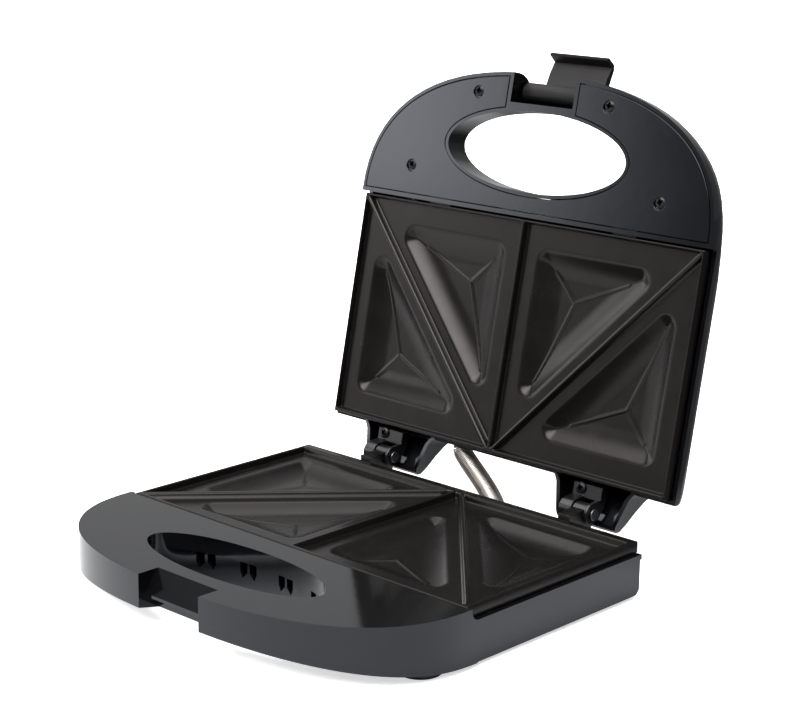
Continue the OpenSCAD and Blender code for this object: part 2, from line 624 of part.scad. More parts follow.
module lid_shell() color("#1d1d1f") open_lid() difference() {
    union() {
        difference() {
            dome(0);
            intersection() {
                translate([0, 0, -eps]) dome(wall);
                union() {
                    slab([-big, big], [-big, -bay_front - wall], [-1, big]);
                    slab([-big, big], [-bay_front, big], [-1, big]);
                    slab([-big, big], [-bay_front - wall - 1, -bay_front + 1], [13, big]);
                }
            }
            // Seat of the inner cover, and the open bay round the plate
            translate([0, 0, -1]) linear_extrude(1 + inner_t) intersection() {
                outline(rim_t, 0);
                translate([-big, -big - bay_front - wall]) square([2 * big, big]);
            }
            slab([-big, big], [-bay_front, big], [-1, lid_edge]);
        }
        intersection() {
            dome(eps);
            union() {
                oval_wall(0, big, hole_lip, rim_t);
                slab([-notch_w / 2 - wall, notch_w / 2 + wall], [-big, hole_y - hole_b], [0, big]);
                for (p = cover_screws) both(p) boss(4, inner_t, big);
                both([lug_x, lug_y]) boss(4, lug_z + 2.2, big);
            }
        }
        mirrored() translate([hood_in, 0, -plate_gap]) hood_wall();
        // Bosses for the hinge brackets
        for (c = [-hinge_x, hinge_x]) intersection() {
            translate([c + bracket_screw[0], bracket_screw[1], 0]) boss(3.6, bracket_z[1] - plate_gap, 30);
            translate([0, 0, -plate_gap]) span_x(-big, big) polygon(hood);
        }
    }
    translate([0, 0, -1]) linear_extrude(big) oval(hole_lip);
    translate([0, hole_y, lid_front_h - grip_round[0] + 1.2]) linear_extrude(grip_round[0],
        scale = [1 + grip_round[1] / (hole_a + hole_lip), 1 + grip_round[1] / (hole_b + hole_lip)])
        translate([0, -hole_y]) oval(hole_lip);
    slab([-notch_w / 2, notch_w / 2], [-big, -handle_d + notch_d + 3.5], [-1, big]);
    translate([0, pivot_y, pivot_z - plate_gap]) rod_x(-notch_w / 2 - 10, notch_w / 2 + 10, latch_pin_r);
    for (p = cover_screws) both(p) translate([0, 0, inner_t - 1]) cylinder(h = 9, r = screw_r);
    both([lug_x, lug_y]) translate([0, 0, lug_z]) cylinder(h = 10, r = screw_r);
    for (c = [-hinge_x, hinge_x]) translate([c + bracket_screw[0], bracket_screw[1], bracket_z[0]])
        cylinder(h = 11, r = screw_r);
    // The hoods open into the lid
    mirrored()
        slab([hood_in + wall, hood_in + hood_w - wall], [lid_back - 9, lid_back + 1], [-5, 19]);
    // Pockets for the plate's hooks, slot for the conduit, holes for the lamps
    both([hook_x, 0]) slab([-5.4, 5.4], [plate_d - 2, plate_d + 1.1], [6.8, 9.8]);
    both([lug_x, 0]) slab([-7.4, 7.4], [-bay_front - wall - 1, -bay_front + 1], [lug_z - 0.4, lug_z + 2.6]);
    translate([lid_exit[0], 0, lid_exit[1]]) rod_y(lid_back - 5, lid_back + 1, conduit_r + 0.3);
    both([lamp_x, lamp_y]) cylinder(h = big, r = 3.5);
}
module lid_inner_cover() color("#232326") open_lid() difference() {
    linear_extrude(inner_t) difference() {
        intersection() {
            outline(rim_t + groove, 0);
            translate([-big, -big - bay_front - wall - groove]) square([2 * big, big]);
        }
        oval(hole_lip + rim_t + groove);
        translate([-notch_w / 2 - wall - groove, -big])
            square([notch_w + 2 * wall + 2 * groove, big - hole_front]);
    }
    for (p = cover_screws) both(p) {
        translate([0, 0, -1]) cylinder(h = 1 + 1.4, r = screw_head_r + 0.3);
        translate([0, 0, -1]) cylinder(h = 5, r = screw_r + 0.3);
    }
}
module lid_cover_screws() color("#4a4b4e") open_lid() for (p = cover_screws) both(p)
    translate([0, 0, 1.4]) screw(8);
module upper_plate_screws() color("#8d8f92") open_lid() both([lug_x, lug_y, lug_z]) screw(8);
module upper_reflector_screws() color("#8d8f92") open_lid() for (p = posts) both(p)
    translate([0, 0, -tray_z]) mirror([0, 0, 1]) screw(8);
lens_z = lid_top(lamp_y) - lens_t;
module lens(x) open_lid() translate([x, lamp_y, 0]) {
    boss(3.3, lens_z, lens_z + lens_t + 1.4);
    boss(4, lens_z, lens_z + 1.2);
}
module power_lamp_lens() color("#c0281c") lens(-lamp_x);
module ready_lamp_lens() color("#2c9a3c") lens(lamp_x);
module neon_lamps() color("#e9ddc8") open_lid() both([lamp_x, lamp_y]) {
    boss(lamp_r, lamp_z, lens_z - lamp_r - 0.4);
    translate([0, 0, lens_z - lamp_r - 0.4]) sphere(r = lamp_r);
}
module lamp_holder() color("#e6e2d6") open_lid() difference() {
    union() {
        slab([-21, 21], [lamp_y - 3.6, -bay_front - wall], [5, 7]);
        both([19, lamp_y]) slab([-1, 1], [-3, 3], [inner_t, 5 + eps]);
        both([lamp_x, lamp_y]) boss(lamp_r + 1, lamp_z - 1 - eps, lamp_z + 2);
    }
    both([lamp_x, lamp_y]) boss(lamp_r + 0.05, lamp_z - 1, lamp_z + 9);
}

// ---- latch ----

// Side view of the latched clip about its pivot, y towards the back and z up
clip = [[-3.2, 4.2], [-7.4, 2.6], [-10.3, -2], [-10.9, -8], [-10.4, -16], [-8.2, -23.8], [-6.4, -25.9],
    [-0.6, -25.9], [0.4, -24.8], [-0.3, -24], [-5.7, -23.7], [-6.6, -17], [-8.6, -10], [-7.4, -5],
    [-3.6, -3]];
module latch() color("#262628") open_lid() translate([0, pivot_y, pivot_z - plate_gap])
    rotate([-latch_swing, 0, 0]) difference() {
        union() {
            span_x(-latch_w / 2, latch_w / 2) polygon(clip);
            rod_x(-latch_w / 2, latch_w / 2, barrel_r);
        }
        rod_x(-latch_w, latch_w, latch_pin_r + pin_play);
    }
module latch_pin() color("#c9ccd0") open_lid() translate([0, pivot_y, pivot_z - plate_gap])
    rod_x(-notch_w / 2 - 6, notch_w / 2 + 6, latch_pin_r);

// ---- leads ----

// The conduit's centre line, from inside the base to inside the lid
function opened(p) = let (y = p[1] - hinge_y, z = p[2])
    [p[0], hinge_y + cos(lid_swing) * y + sin(lid_swing) * z, -sin(lid_swing) * y + cos(lid_swing) * z];
conduit_low = [base_exit[0], base_back + 2, base_exit[1]];
conduit_high = opened([lid_exit[0], lid_back + 2, lid_exit[1] + plate_gap]);
conduit = concat([[base_exit[0], base_back - 4, base_exit[1]]],
    [for (k = [0:14]) bezier(conduit_low, conduit_low + [0, conduit_reach[0], 0],
        opened([lid_exit[0], lid_back + 2 + conduit_reach[1], lid_exit[1] + plate_gap]),
        conduit_high, k / 14)],
    [opened([lid_exit[0], lid_back - 4, lid_exit[1] + plate_gap])]);
module spring_conduit() color("#d4d2cc") place() tube(conduit, conduit_r, 12);
lead_z = -base_h + cover_in + cover_t + 1.6;
lead_r = 1.1;
module base_leads() color("#c8c2b4") place() {
    for (s = [-1, 1]) tube(spline([[inlet[0] + s * 1.6, bush_in - 0.8, inlet[1]],
        [inlet[0] + s * 1.6, bush_in - 3, inlet[1]],
        [inlet[0] + 14, plate_d - 10 - s * 1.8, lead_z], [20, plate_d - 10 - s * 1.8, lead_z],
        [block_x[0] - 0.2, plate_d - 10 - s * 1.8, lead_z + 1.5]], 4), lead_r, 6);
}
module lid_leads() color("#c8c2b4") open_lid() {
    tube(spline([[lid_exit[0], lid_back - 6, lid_exit[1]], [lid_exit[0] + 4, plate_d - 9, 14],
        [-12, plate_d - 14, 16],
        [-6, heater_y[1] + 5, -heater_z + 1]], 4), lead_r, 6);
}

// ---- the toaster ----

base_housing();
base_bottom_cover();
rubber_feet();
base_screws();
lower_plate();
lower_heater();
lower_reflector();
thermostat();
thermal_fuse();
terminal_block();
cord_inlet_bush();
base_leads();
base_hinge_bracket_left();
base_hinge_bracket_right();
base_hinge_screws();
hinge_pins();
spring_conduit();
lid_shell();
lid_inner_cover();
lid_cover_screws();
upper_plate();
upper_plate_screws();
upper_heater();
upper_reflector();
upper_reflector_screws();
lid_hinge_bracket_left();
lid_hinge_bracket_right();
lid_hinge_screws();
latch_pin();
power_lamp_lens();
ready_lamp_lens();
neon_lamps();
lamp_holder();
lid_leads();
latch();
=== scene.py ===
"""Looks of a countertop sandwich toaster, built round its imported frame."""

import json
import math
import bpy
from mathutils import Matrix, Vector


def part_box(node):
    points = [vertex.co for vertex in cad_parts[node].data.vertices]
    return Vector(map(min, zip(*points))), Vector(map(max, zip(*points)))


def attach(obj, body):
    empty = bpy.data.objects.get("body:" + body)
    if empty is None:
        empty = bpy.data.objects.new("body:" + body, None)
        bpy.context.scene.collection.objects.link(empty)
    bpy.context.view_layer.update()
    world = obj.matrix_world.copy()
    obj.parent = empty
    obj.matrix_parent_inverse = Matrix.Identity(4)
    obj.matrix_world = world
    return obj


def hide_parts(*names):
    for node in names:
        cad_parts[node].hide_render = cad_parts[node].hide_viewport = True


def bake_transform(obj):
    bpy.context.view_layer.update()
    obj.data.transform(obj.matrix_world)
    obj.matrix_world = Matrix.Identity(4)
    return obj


bl_info = {
    "name": "Sandwich toaster",
    "version": (1, 0, 0),
    "blender": (4, 5, 0),
    "location": "3D View > Sidebar > Toaster",
    "description": "Builds the pieces, finishes and studio of a sandwich toaster",
    "category": "Object",
}

from collections import namedtuple
from types import SimpleNamespace

import bmesh
import bpy
import numpy as np
from bpy.props import FloatProperty, FloatVectorProperty, PointerProperty, StringProperty
from mathutils import Matrix, Vector

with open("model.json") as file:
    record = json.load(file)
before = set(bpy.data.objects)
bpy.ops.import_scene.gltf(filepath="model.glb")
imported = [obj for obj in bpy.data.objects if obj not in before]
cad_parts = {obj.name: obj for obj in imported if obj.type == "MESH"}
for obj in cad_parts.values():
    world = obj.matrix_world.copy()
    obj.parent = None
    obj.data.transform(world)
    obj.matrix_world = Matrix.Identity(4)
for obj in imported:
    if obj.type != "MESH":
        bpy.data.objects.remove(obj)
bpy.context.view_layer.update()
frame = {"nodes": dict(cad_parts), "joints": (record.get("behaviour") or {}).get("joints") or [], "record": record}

# ---- the frame's own measures, in metres ----

MM = 0.001
HINGE = next(j for j in frame["joints"] if j["name"] == "lid_hinge")
HINGE_AT = Vector(HINGE["pos_m"])
LID_SWING = math.radians(HINGE["range_deg"][1])
PLATE_LOW, PLATE_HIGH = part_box("lower_plate")
RIM_Z = PLATE_HIGH.z

# ---- and in mm ----

PLATE_W = (PLATE_HIGH.x - PLATE_LOW.x) / MM
PLATE_D = (PLATE_HIGH.y - PLATE_LOW.y) / MM
HINGE_BACK = (HINGE_AT.y - PLATE_HIGH.y) / MM
PLATE_GAP = 0.5  # between the rims of the two plates when shut


def on_base(x, y, z=0.0):
    """A point given in mm from the front middle of the lower plate's rim."""
    return Vector((x * MM, PLATE_LOW.y + y * MM, RIM_Z + z * MM))


LID_MATRIX = (
    Matrix.Translation(HINGE_AT)
    @ Matrix.Rotation(-LID_SWING, 4, "X")
    @ Matrix.Translation(Vector((0, -PLATE_D - HINGE_BACK, PLATE_GAP)) * MM)
)
BASE_MATRIX = Matrix.Translation(on_base(0, 0))


def on_lid(x, y, z=0.0):
    """A point of the lid given in mm, as the lid lies shut over the lower plate's rim."""
    return LID_MATRIX @ (Vector((x, y, z)) * MM)


# ---- small tools ----


def linear(hex_colour):
    """An sRGB hex colour as linear RGBA."""
    parts = [int(hex_colour[i : i + 2], 16) / 255 for i in (1, 3, 5)]
    return (*[c / 12.92 if c <= 0.04045 else ((c + 0.055) / 1.055) ** 2.4 for c in parts], 1.0)


def add(tree, kind, values=None, links=None, **settings):
    """Adds a node with its settings, input values and links, from sockets or from nodes' first ones."""
    made = tree.nodes.new(kind)
    for name, value in settings.items():
        setattr(made, name, value)
    for key, value in (values or {}).items():
        made.inputs[key].default_value = value
    for key, source in (links or {}).items():
        tree.links.new(getattr(source, "outputs", [source])[0], made.inputs[key])
    return made


# ---- surfaces ----

Surface = namedtuple("Surface", "material tree shader coords")


def start_material(name, colour, roughness, **sockets):
    """A Principled surface whose uniform values are set on the shader itself."""
    material = bpy.data.materials.new(name)
    material.use_nodes = True
    tree = material.node_tree
    shader = next(n for n in tree.nodes if n.type == "BSDF_PRINCIPLED")
    for key, value in {"Base Color": linear(colour), "Roughness": roughness, **sockets}.items():
        shader.inputs[key.replace("_", " ")].default_value = value
    return Surface(material, tree, shader, add(tree, "ShaderNodeTexCoord").outputs["Object"])


def colour_between(surface, share, first, second):
    """Colours the surface from a first to a second hex colour by a share of 0 to 1."""
    mixed = add(surface.tree, "ShaderNodeMix", links={0: share}, data_type="RGBA")
    for socket, colour in zip((s for s in mixed.inputs if s.type == "RGBA"), (first, second)):
        socket.default_value = linear(colour)
    made = next(s for s in mixed.outputs if s.type == "RGBA")
    surface.tree.links.new(made, surface.shader.inputs["Base Color"])


def emboss(surface, height, depth_mm):
    """Lets a height of depth_mm show in the surface's shading."""
    relief = add(surface.tree, "ShaderNodeBump", {"Distance": depth_mm * MM}, {"Height": height})
    surface.tree.links.new(relief.outputs["Normal"], surface.shader.inputs["Normal"])


def grain(surface, size_mm, depth_mm, detail=3.0, rough=0.5):
    """Embosses a random grain, its lumps size_mm across and depth_mm high."""
    lumps = add(surface.tree, "ShaderNodeTexNoise",
                {"Scale": 1 / (size_mm * MM), "Detail": detail, "Roughness": rough},
                {"Vector": surface.coords})
    emboss(surface, lumps, depth_mm)


def dapple(surface, size_mm, first, second, detail=4.0, edges=(0.0, 1.0)):
    """Mottles the surface between two hex colours, in patches size_mm across."""
    patches = add(surface.tree, "ShaderNodeTexNoise", {"Scale": 1 / (size_mm * MM), "Detail": detail},
                  {"Vector": surface.coords})
    share = add(surface.tree, "ShaderNodeMapRange", {"From Min": edges[0], "From Max": edges[1]},
                {"Value": patches})
    colour_between(surface, share, first, second)


def cloud(surface, roughness, size_mm, least=0.75, most=1.3, edges=(0.3, 0.7), detail=4.0, rough=0.5):
    """Makes the gloss uneven: patches size_mm across, from least to most times a roughness."""
    patches = add(surface.tree, "ShaderNodeTexNoise",
                  {"Scale": 1 / (size_mm * MM), "Detail": detail, "Roughness": rough},
                  {"Vector": surface.coords})
    made = add(surface.tree, "ShaderNodeMapRange",
               {"From Min": edges[0], "From Max": edges[1],
                "To Min": roughness * least, "To Max": roughness * most},
               {"Value": patches})
    surface.tree.links.new(made.outputs["Result"], surface.shader.inputs["Roughness"])


# ---- materials ----


def polished_abs(name, colour, roughness):
    """Black ABS from a polished mould: deep gloss, a slow orange peel and faint handling haze."""
    surface = start_material(name, colour, roughness, IOR=1.46, Specular_Tint=linear("#eef3ff"))
    cloud(surface, roughness, 38, 0.85, rough=0.6)
    grain(surface, 7, 0.012, detail=1)
    return surface.material


def textured_moulding(name, colour, roughness, ior):
    """ABS or nylon from a mould with a fine spark-eroded grain: a soft gloss."""
    surface = start_material(name, colour, roughness, IOR=ior)
    # the grain is about 0.1 mm on the real part and is drawn at 0.6 mm so that it shows
    grain(surface, 0.6, 0.03, rough=0.6)
    cloud(surface, roughness, 20, 0.8, 1.25, edges=(0.35, 0.65), detail=3)
    return surface.material


def ptfe_coated_aluminium(colour, warm, roughness):
    """Die-cast aluminium with sprayed PTFE: a dark satin with a brown cast and a fine pebble."""
    surface = start_material("ptfe_coated_aluminium", colour, roughness, IOR=1.3,
                             Specular_Tint=linear("#fff8f6"))
    dapple(surface, 30, colour, warm)
    cloud(surface, roughness, 12, 0.86, 1.16)
    # the sprayed film's pebble is about 0.3 mm and is drawn at 0.8 mm so that it shows
    grain(surface, 0.8, 0.035, detail=4, rough=0.7)
    return surface.material


def screw_steel(name, colour, roughness):
    """Headed and rolled screw wire in a thin coat: an even satin, with painted shade that colours the recess near
    black.
    """
    surface = start_material(name, colour, roughness, Metallic=1.0)
    # painted shade: the recess is coloured near black, more the deeper it is, by the share stored in the attribute
    # recess
    recess_shade = add(surface.tree, "ShaderNodeAttribute", attribute_name="recess").outputs["Fac"]
    colour_between(surface, recess_shade, colour, "#060606")
    cloud(surface, roughness, 5)
    grain(surface, 0.7, 0.012)
    return surface.material


def bare_metal(name, colour, roughness, grain_mm, depth_mm):
    """A drawn or rolled metal without a coat: a satin with a fine random grain."""
    surface = start_material(name, colour, roughness, Metallic=1.0)
    cloud(surface, roughness, grain_mm * 8)
    grain(surface, grain_mm, depth_mm)
    return surface.material


def moulded_rubber(name, colour):
    """Soft rubber: matt, with a dusty bloom in its mould grain."""
    surface = start_material(name, colour, 0.75, IOR=1.5)
    dapple(surface, 9, colour, "#2c2c2d", detail=5)
    grain(surface, 0.7, 0.05)
    return surface.material


def steatite():
    """Pressed, unglazed steatite ceramic: chalky, with fired specks."""
    surface = start_material("steatite", "#ddd8cb", 0.7)
    dapple(surface, 1.2, "#ddd8cb", "#b9b2a0", detail=5, edges=(0.45, 0.75))
    grain(surface, 0.8, 0.04, detail=4)
    return surface.material


def glass_fibre_sleeve():
    """Varnished glass-fibre braid: two bands of yarn 0.7 mm wide that cross along the lead."""
    surface = start_material("glass_fibre_sleeve", "#d3cbb2", 0.55)
    weave = add(surface.tree, "ShaderNodeTexChecker",
                {"Scale": 1 / (0.714 * MM), "Color1": linear("#d9d2ba"), "Color2": linear("#aca386")},
                {"Vector": surface.coords})
    surface.tree.links.new(weave.outputs["Color"], surface.shader.inputs["Base Color"])
    emboss(surface, weave.outputs["Fac"], 0.05)
    return surface.material


def polycarbonate(name, colour):
    """Clear coloured polycarbonate: glassy, with moulded flow lines."""
    surface = start_material(name, colour, 0.08, IOR=1.585, Transmission_Weight=0.7)
    grain(surface, 3, 0.02, detail=2)
    return surface.material


def lamp_glass():
    """Thin drawn glass with a warm neon filling."""
    surface = start_material("lamp_glass", "#f4dcc0", 0.05, IOR=1.47, Transmission_Weight=0.85)
    grain(surface, 2, 0.01, detail=2)
    return surface.material


def natural_nylon():
    """Uncoloured nylon moulding: milky and waxy."""
    surface = start_material("natural_nylon", "#d8d2c0", 0.45, IOR=1.53)
    dapple(surface, 6, "#d8d2c0", "#c8c0aa")
    grain(surface, 0.6, 0.02)
    return surface.material


MATERIALS = {}


def make_materials(looks):
    """One material for each of the record's slots."""
    MATERIALS.update(
        housing_plastic=polished_abs("polished_black_abs", looks.housing, looks.housing_gloss),
        cover_plastic=polished_abs("polished_black_abs_cover", looks.cover, looks.housing_gloss),
        cooking_plate=ptfe_coated_aluminium(looks.coating, looks.coating_warm, looks.coating_gloss),
        hinge_plastic=textured_moulding("moulded_black_nylon", looks.hinge, 0.28, 1.5),
        latch_plastic=textured_moulding("moulded_black_abs", looks.latch, 0.48, 1.3),
        heater_sheath=bare_metal("oxidised_steel_tube", "#6f6760", 0.5, 1.5, 0.02),
        reflector_sheet=bare_metal("rolled_aluminium", "#c9cbcd", 0.3, 1.0, 0.01),
        steel_pin=bare_metal("drawn_steel", "#6c6d70", 0.34, 0.8, 0.006),
        black_screw=screw_steel("black_oxide_steel", looks.screw, 0.38),
        zinc_screw=screw_steel("zinc_plated_steel", "#a7a9ac", 0.34),
        conduit_steel=bare_metal("spring_wire", looks.conduit, 0.32, 0.9, 0.008),
        foot_rubber=moulded_rubber("black_rubber", "#161617"),
        bush_rubber=moulded_rubber("black_bush_rubber", "#1a1a1b"),
        ceramic=steatite(),
        lead_sleeve=glass_fibre_sleeve(),
        red_lens=polycarbonate("red_polycarbonate", "#c0180e"),
        green_lens=polycarbonate("green_polycarbonate", "#1f9a3a"),
        lamp_glass=lamp_glass(),
        holder_plastic=natural_nylon(),
    )


# ---- meshes ----

WELD = 2e-6  # points of a CAD mesh nearer than this are one, in metres
SLIVER = 1e-6  # the shortest edge that is kept, in metres
FLAT_WITHIN = math.radians(0.4)  # faces that lean less than this are one flat face
SHARP_FROM = 32  # edges that turn more than this are rounded, in degrees


def new_piece(name, data):
    """An object at the origin that carries a mesh, a curve, a camera or a light."""
    piece = bpy.data.objects.new(name, data)
    bpy.context.scene.collection.objects.link(piece)
    return piece


def settle(piece):
    """Turns a piece's modifiers into its mesh and removes them."""
    graph = bpy.context.evaluated_depsgraph_get()
    mesh = bpy.data.meshes.new_from_object(piece.evaluated_get(graph))
    piece.modifiers.clear()
    old = piece.data
    piece.data = mesh
    bpy.data.meshes.remove(old)


def body_of(node):
    """The body that a CAD node rides on."""
    return next(b for b, members in frame["record"]["behaviour"]["bodies"].items() if node in members)


def slot_of(node):
    """The material slot of a CAD node."""
    return next(s["material_slot"] for s in frame["record"]["subparts"] if s["node"] == node)


def coat(piece, slot):
    """Gives a piece the one material of a slot."""
    piece.data.materials.clear()
    piece.data.materials.append(MATERIALS[slot])


def keep(node):
    """Shows a CAD node as it is, in the material of its slot."""
    coat(frame["nodes"][node], slot_of(node))


def dress(piece, node):
    """Lets a piece stand for a CAD node, on the node's body and in its slot."""
    coat(piece, slot_of(node))
    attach(piece, body_of(node))
    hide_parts(node)


def smooth_by_angle(mesh, degrees):
    """Shades a mesh smooth, with its sharper edges kept."""
    mesh.shade_smooth()
    mesh.set_sharp_from_angle(angle=math.radians(degrees))


def welded(node):
    """A CAD node's loose triangles as a joined bmesh, which the caller frees."""
    bm = bmesh.new()
    bm.from_mesh(frame["nodes"][node].data)
    bmesh.ops.remove_doubles(bm, verts=bm.verts, dist=WELD)
    return bm


def round_off(name, node, radius_mm, segments=3):
    """Makes a copy of a CAD node that stands for it, with flat faces joined and edges rounded."""
    bm = welded(node)
    bmesh.ops.dissolve_degenerate(bm, edges=bm.edges, dist=SLIVER)
    bmesh.ops.dissolve_limit(bm, angle_limit=FLAT_WITHIN, verts=bm.verts, edges=bm.edges)
    mesh = bpy.data.meshes.new(name)
    bm.to_mesh(mesh)
    bm.free()
    piece = new_piece(name, mesh)
    bevel = piece.modifiers.new("edges", "BEVEL")
    bevel.width = radius_mm * MM
    bevel.segments = segments
    bevel.limit_method = "ANGLE"
    bevel.angle_limit = math.radians(SHARP_FROM)
    bevel.use_clamp_overlap = True
    bevel.miter_outer = "MITER_ARC"
    settle(piece)
    smooth_by_angle(piece.data, SHARP_FROM)
    weighted = piece.modifiers.new("broad faces stay flat", "WEIGHTED_NORMAL")
    weighted.keep_sharp = True
    weighted.weight = 90
    settle(piece)
    dress(piece, node)


def loft(name, rings):
    """A closed mesh through rings of points, with a face over each end."""
    count = len(rings[0])
    verts = [p for ring in rings for p in ring]
    faces = [(i + k, i + (k + 1) % count, i + count + (k + 1) % count, i + count + k)
             for i in range(0, len(verts) - count, count) for k in range(count)]
    faces += [tuple(range(count))[::-1], tuple(range(len(verts) - count, len(verts)))]
    mesh = bpy.data.meshes.new(name)
    mesh.from_pydata(verts, [], faces)
    bm = bmesh.new()
    bm.from_mesh(mesh)
    bmesh.ops.recalc_face_normals(bm, faces=bm.faces)
    bm.to_mesh(mesh)
    bm.free()
    return mesh


# ---- cooking plates, in mm ----

FAR = 1e9
CREASE_SHARES = (0.6, 0.6, 0.72)  # how far the creases reach from a pocket's middle to its corners
CREASE_HALF = 0.8  # half the width of a crease
OUTER_POCKET_SHIFT = 0.7  # the outer pockets lie this much further in from the side
WALL_RUN = 1.1  # width of the sloping side of a rim or a rib
CLOSER = 0.7  # reach of the finer mesh beside a rim, and its spacing
CLOSER_STEP = 0.3
CREST = 0.9  # reach of the finest mesh along a rounded edge, and its spacing
CREST_STEP = 0.22
RIB_REACH = 2.1  # reach of the finer mesh over a rib, and its spacing
RIB_STEP = 0.35
CHAMFER = 0.3  # at the foot of a plate's edge
UNDER_INSET = 3.0  # between the edge and the coarser grid of the underside
UNDER_GRID = (73, 41)  # points of that grid, across and along
POST_RADIUS, POST_LOW, POST_HIGH = 4, -18.9, -4.6
POST_SIDE, POST_FRONT, POST_REAR = 18, 18, 9.2  # from the plate's sides, front and rear
LUG_AT, LUG_HALF, LUG_LOW, LUG_HIGH = 60, 7, (-12, -6.6), (0.4, -4.4)
HOOK_SIDE, HOOK_HALF, HOOK_DROP, HOOK_TOP, HOOK_STEP = 9, 5, -9.4, -5, -7.2
HOOK_ROOT, HOOK_NECK, HOOK_TIP = -4.5, -2.1, 0.7  # along the plate, from its rear edge


def in_mm(group):
    """The lengths of a property group, in mm."""
    return SimpleNamespace(**{name: getattr(group, name) / MM for name in group.__annotations__})


def soft_min(a, b, radius):
    """The lower of two heights, blended over a radius."""
    h = np.clip(0.5 + 0.5 * (b - a) / radius, 0, 1)
    return b * (1 - h) + a * h - radius * h * (1 - h)


def soft_max(a, b, radius):
    """The higher of two heights, blended over a radius."""
    return -soft_min(-a, -b, radius)


def from_segment(x, y, start, end):
    """Distance to the straight line between two points."""
    ex, ey = end[0] - start[0], end[1] - start[1]
    t = np.clip(((x - start[0]) * ex + (y - start[1]) * ey) / (ex * ex + ey * ey), 0, 1)
    return np.hypot(x - start[0] - t * ex, y - start[1] - t * ey)


def incentre(corners):
    """Middle and radius of the circle that touches a triangle's three sides."""
    sides = [math.dist(corners[k - 2], corners[k - 1]) for k in range(3)]
    (ax, ay), (bx, by), (cx, cy) = corners
    double_area = abs((bx - ax) * (cy - ay) - (cx - ax) * (by - ay))
    return np.average(corners, axis=0, weights=sides), double_area / sum(sides)


def rounded_triangle(x, y, corners, radius):
    """Distance to a triangle with round corners, negative inside."""
    middle, inside = incentre(corners)
    inner = middle + (np.array(corners) - middle) * (1 - radius / inside)
    deepest, nearest = np.full(x.shape, -FAR), np.full(x.shape, FAR)
    for k in range(3):
        (ax, ay), (bx, by) = inner[k], inner[(k + 1) % 3]
        length = math.hypot(bx - ax, by - ay)
        nx, ny = (by - ay) / length, (ax - bx) / length
        if nx * (middle[0] - ax) + ny * (middle[1] - ay) > 0:
            nx, ny = -nx, -ny
        deepest = np.maximum(deepest, (x - ax) * nx + (y - ay) * ny)
        nearest = np.minimum(nearest, from_segment(x, y, (ax, ay), (bx, by)))
    return np.where(deepest < 0, deepest, nearest) - radius


def plate_surface(sizes, rim, rear_rim):
    """Height of a plate's cooking face, as a function of x from its middle and y from its front."""
    half = PLATE_W / 2
    run = math.hypot(half, PLATE_D)
    per_mm = run / (half * PLATE_D)
    side, end, slant = sizes.pocket_side, sizes.pocket_end, sizes.pocket_slant

    def slant_y(x, off):
        return PLATE_D * (1 + off * per_mm - x / half)

    def slant_x(y, off):
        return half * (1 + off * per_mm - y / PLATE_D)

    far_x, far_y = half - side - OUTER_POCKET_SHIFT, PLATE_D - end
    pockets = [
        [(side, end), (slant_x(end, -slant), end), (side, slant_y(side, -slant))],
        [(far_x, far_y), (slant_x(far_y, slant), far_y), (far_x, slant_y(far_x, slant))],
    ]

    def height(x, y):
        ax = np.abs(x)
        ground = -sizes.rim_height
        slope = (sizes.pocket_depth - sizes.rim_height) / sizes.pocket_run
        surface = np.full(x.shape, float(ground))
        for corners in pockets:
            hollow = rounded_triangle(ax, y, corners, sizes.pocket_corner)
            wall = soft_min(ground + 0 * ax, ground + slope * hollow, sizes.pocket_edge)
            floor = soft_max(wall, -sizes.pocket_depth + 0 * ax, sizes.pocket_foot)
            centre = incentre(corners)[0]
            crease = np.full(x.shape, FAR)
            for corner, share in zip(corners, CREASE_SHARES):
                tip = centre + share * (np.array(corner) - centre)
                crease = np.minimum(crease, from_segment(ax, y, centre, tip))
            ridge = sizes.crease_height * np.clip(1 - crease / CREASE_HALF, 0, 1)
            surface = np.minimum(surface, floor) + np.where(hollow < 0, ridge, 0)
        along = np.abs(ax * PLATE_D + y * half - half * PLATE_D) / run
        for gap, width in ((half - ax, rim), (y, rim), (PLATE_D - y, rear_rim),
                           (ax, sizes.rib_width / 2), (along, sizes.rib_width / 2)):
            t = np.clip((gap - width) / WALL_RUN, 0, 1)
            surface = surface * t * t * (3 - 2 * t)
        edge = np.minimum(np.minimum(half - ax, y), PLATE_D - y)
        fall = np.clip(sizes.edge_radius - edge, 0, sizes.edge_radius)
        return surface - (sizes.edge_radius - np.sqrt(sizes.edge_radius ** 2 - fall ** 2))

    return height


def rib_shares(count, across, along):
    """Shares of a half plate, even but for closer ones at marks, that place its columns and its rows alike.

    The slanting rib then runs through the mesh's corners. A mark is a place, a reach and a spacing.
    """
    half = PLATE_W / 2
    marks = [(at / half, reach / half, fine / half) for at, reach, fine in across]
    marks += [(1 - at / PLATE_D, reach / PLATE_D, fine / PLATE_D) for at, reach, fine in along]
    shares = set(np.round(np.linspace(0, 1, count + 1), 5))
    for at, reach, fine in marks:
        shares = {v for v in shares if not at - reach < v < at + reach}
        shares |= set(np.round(np.arange(at - reach, at + reach + fine / 2, fine), 5))
    return np.array(sorted(v for v in shares if 0 <= v <= 1))


def border_of(grid):
    """The numbers of a grid's outer points, in order round it."""
    return np.concatenate([grid[0, :-1], grid[:-1, -1], grid[-1, :0:-1], grid[:0:-1, 0]])


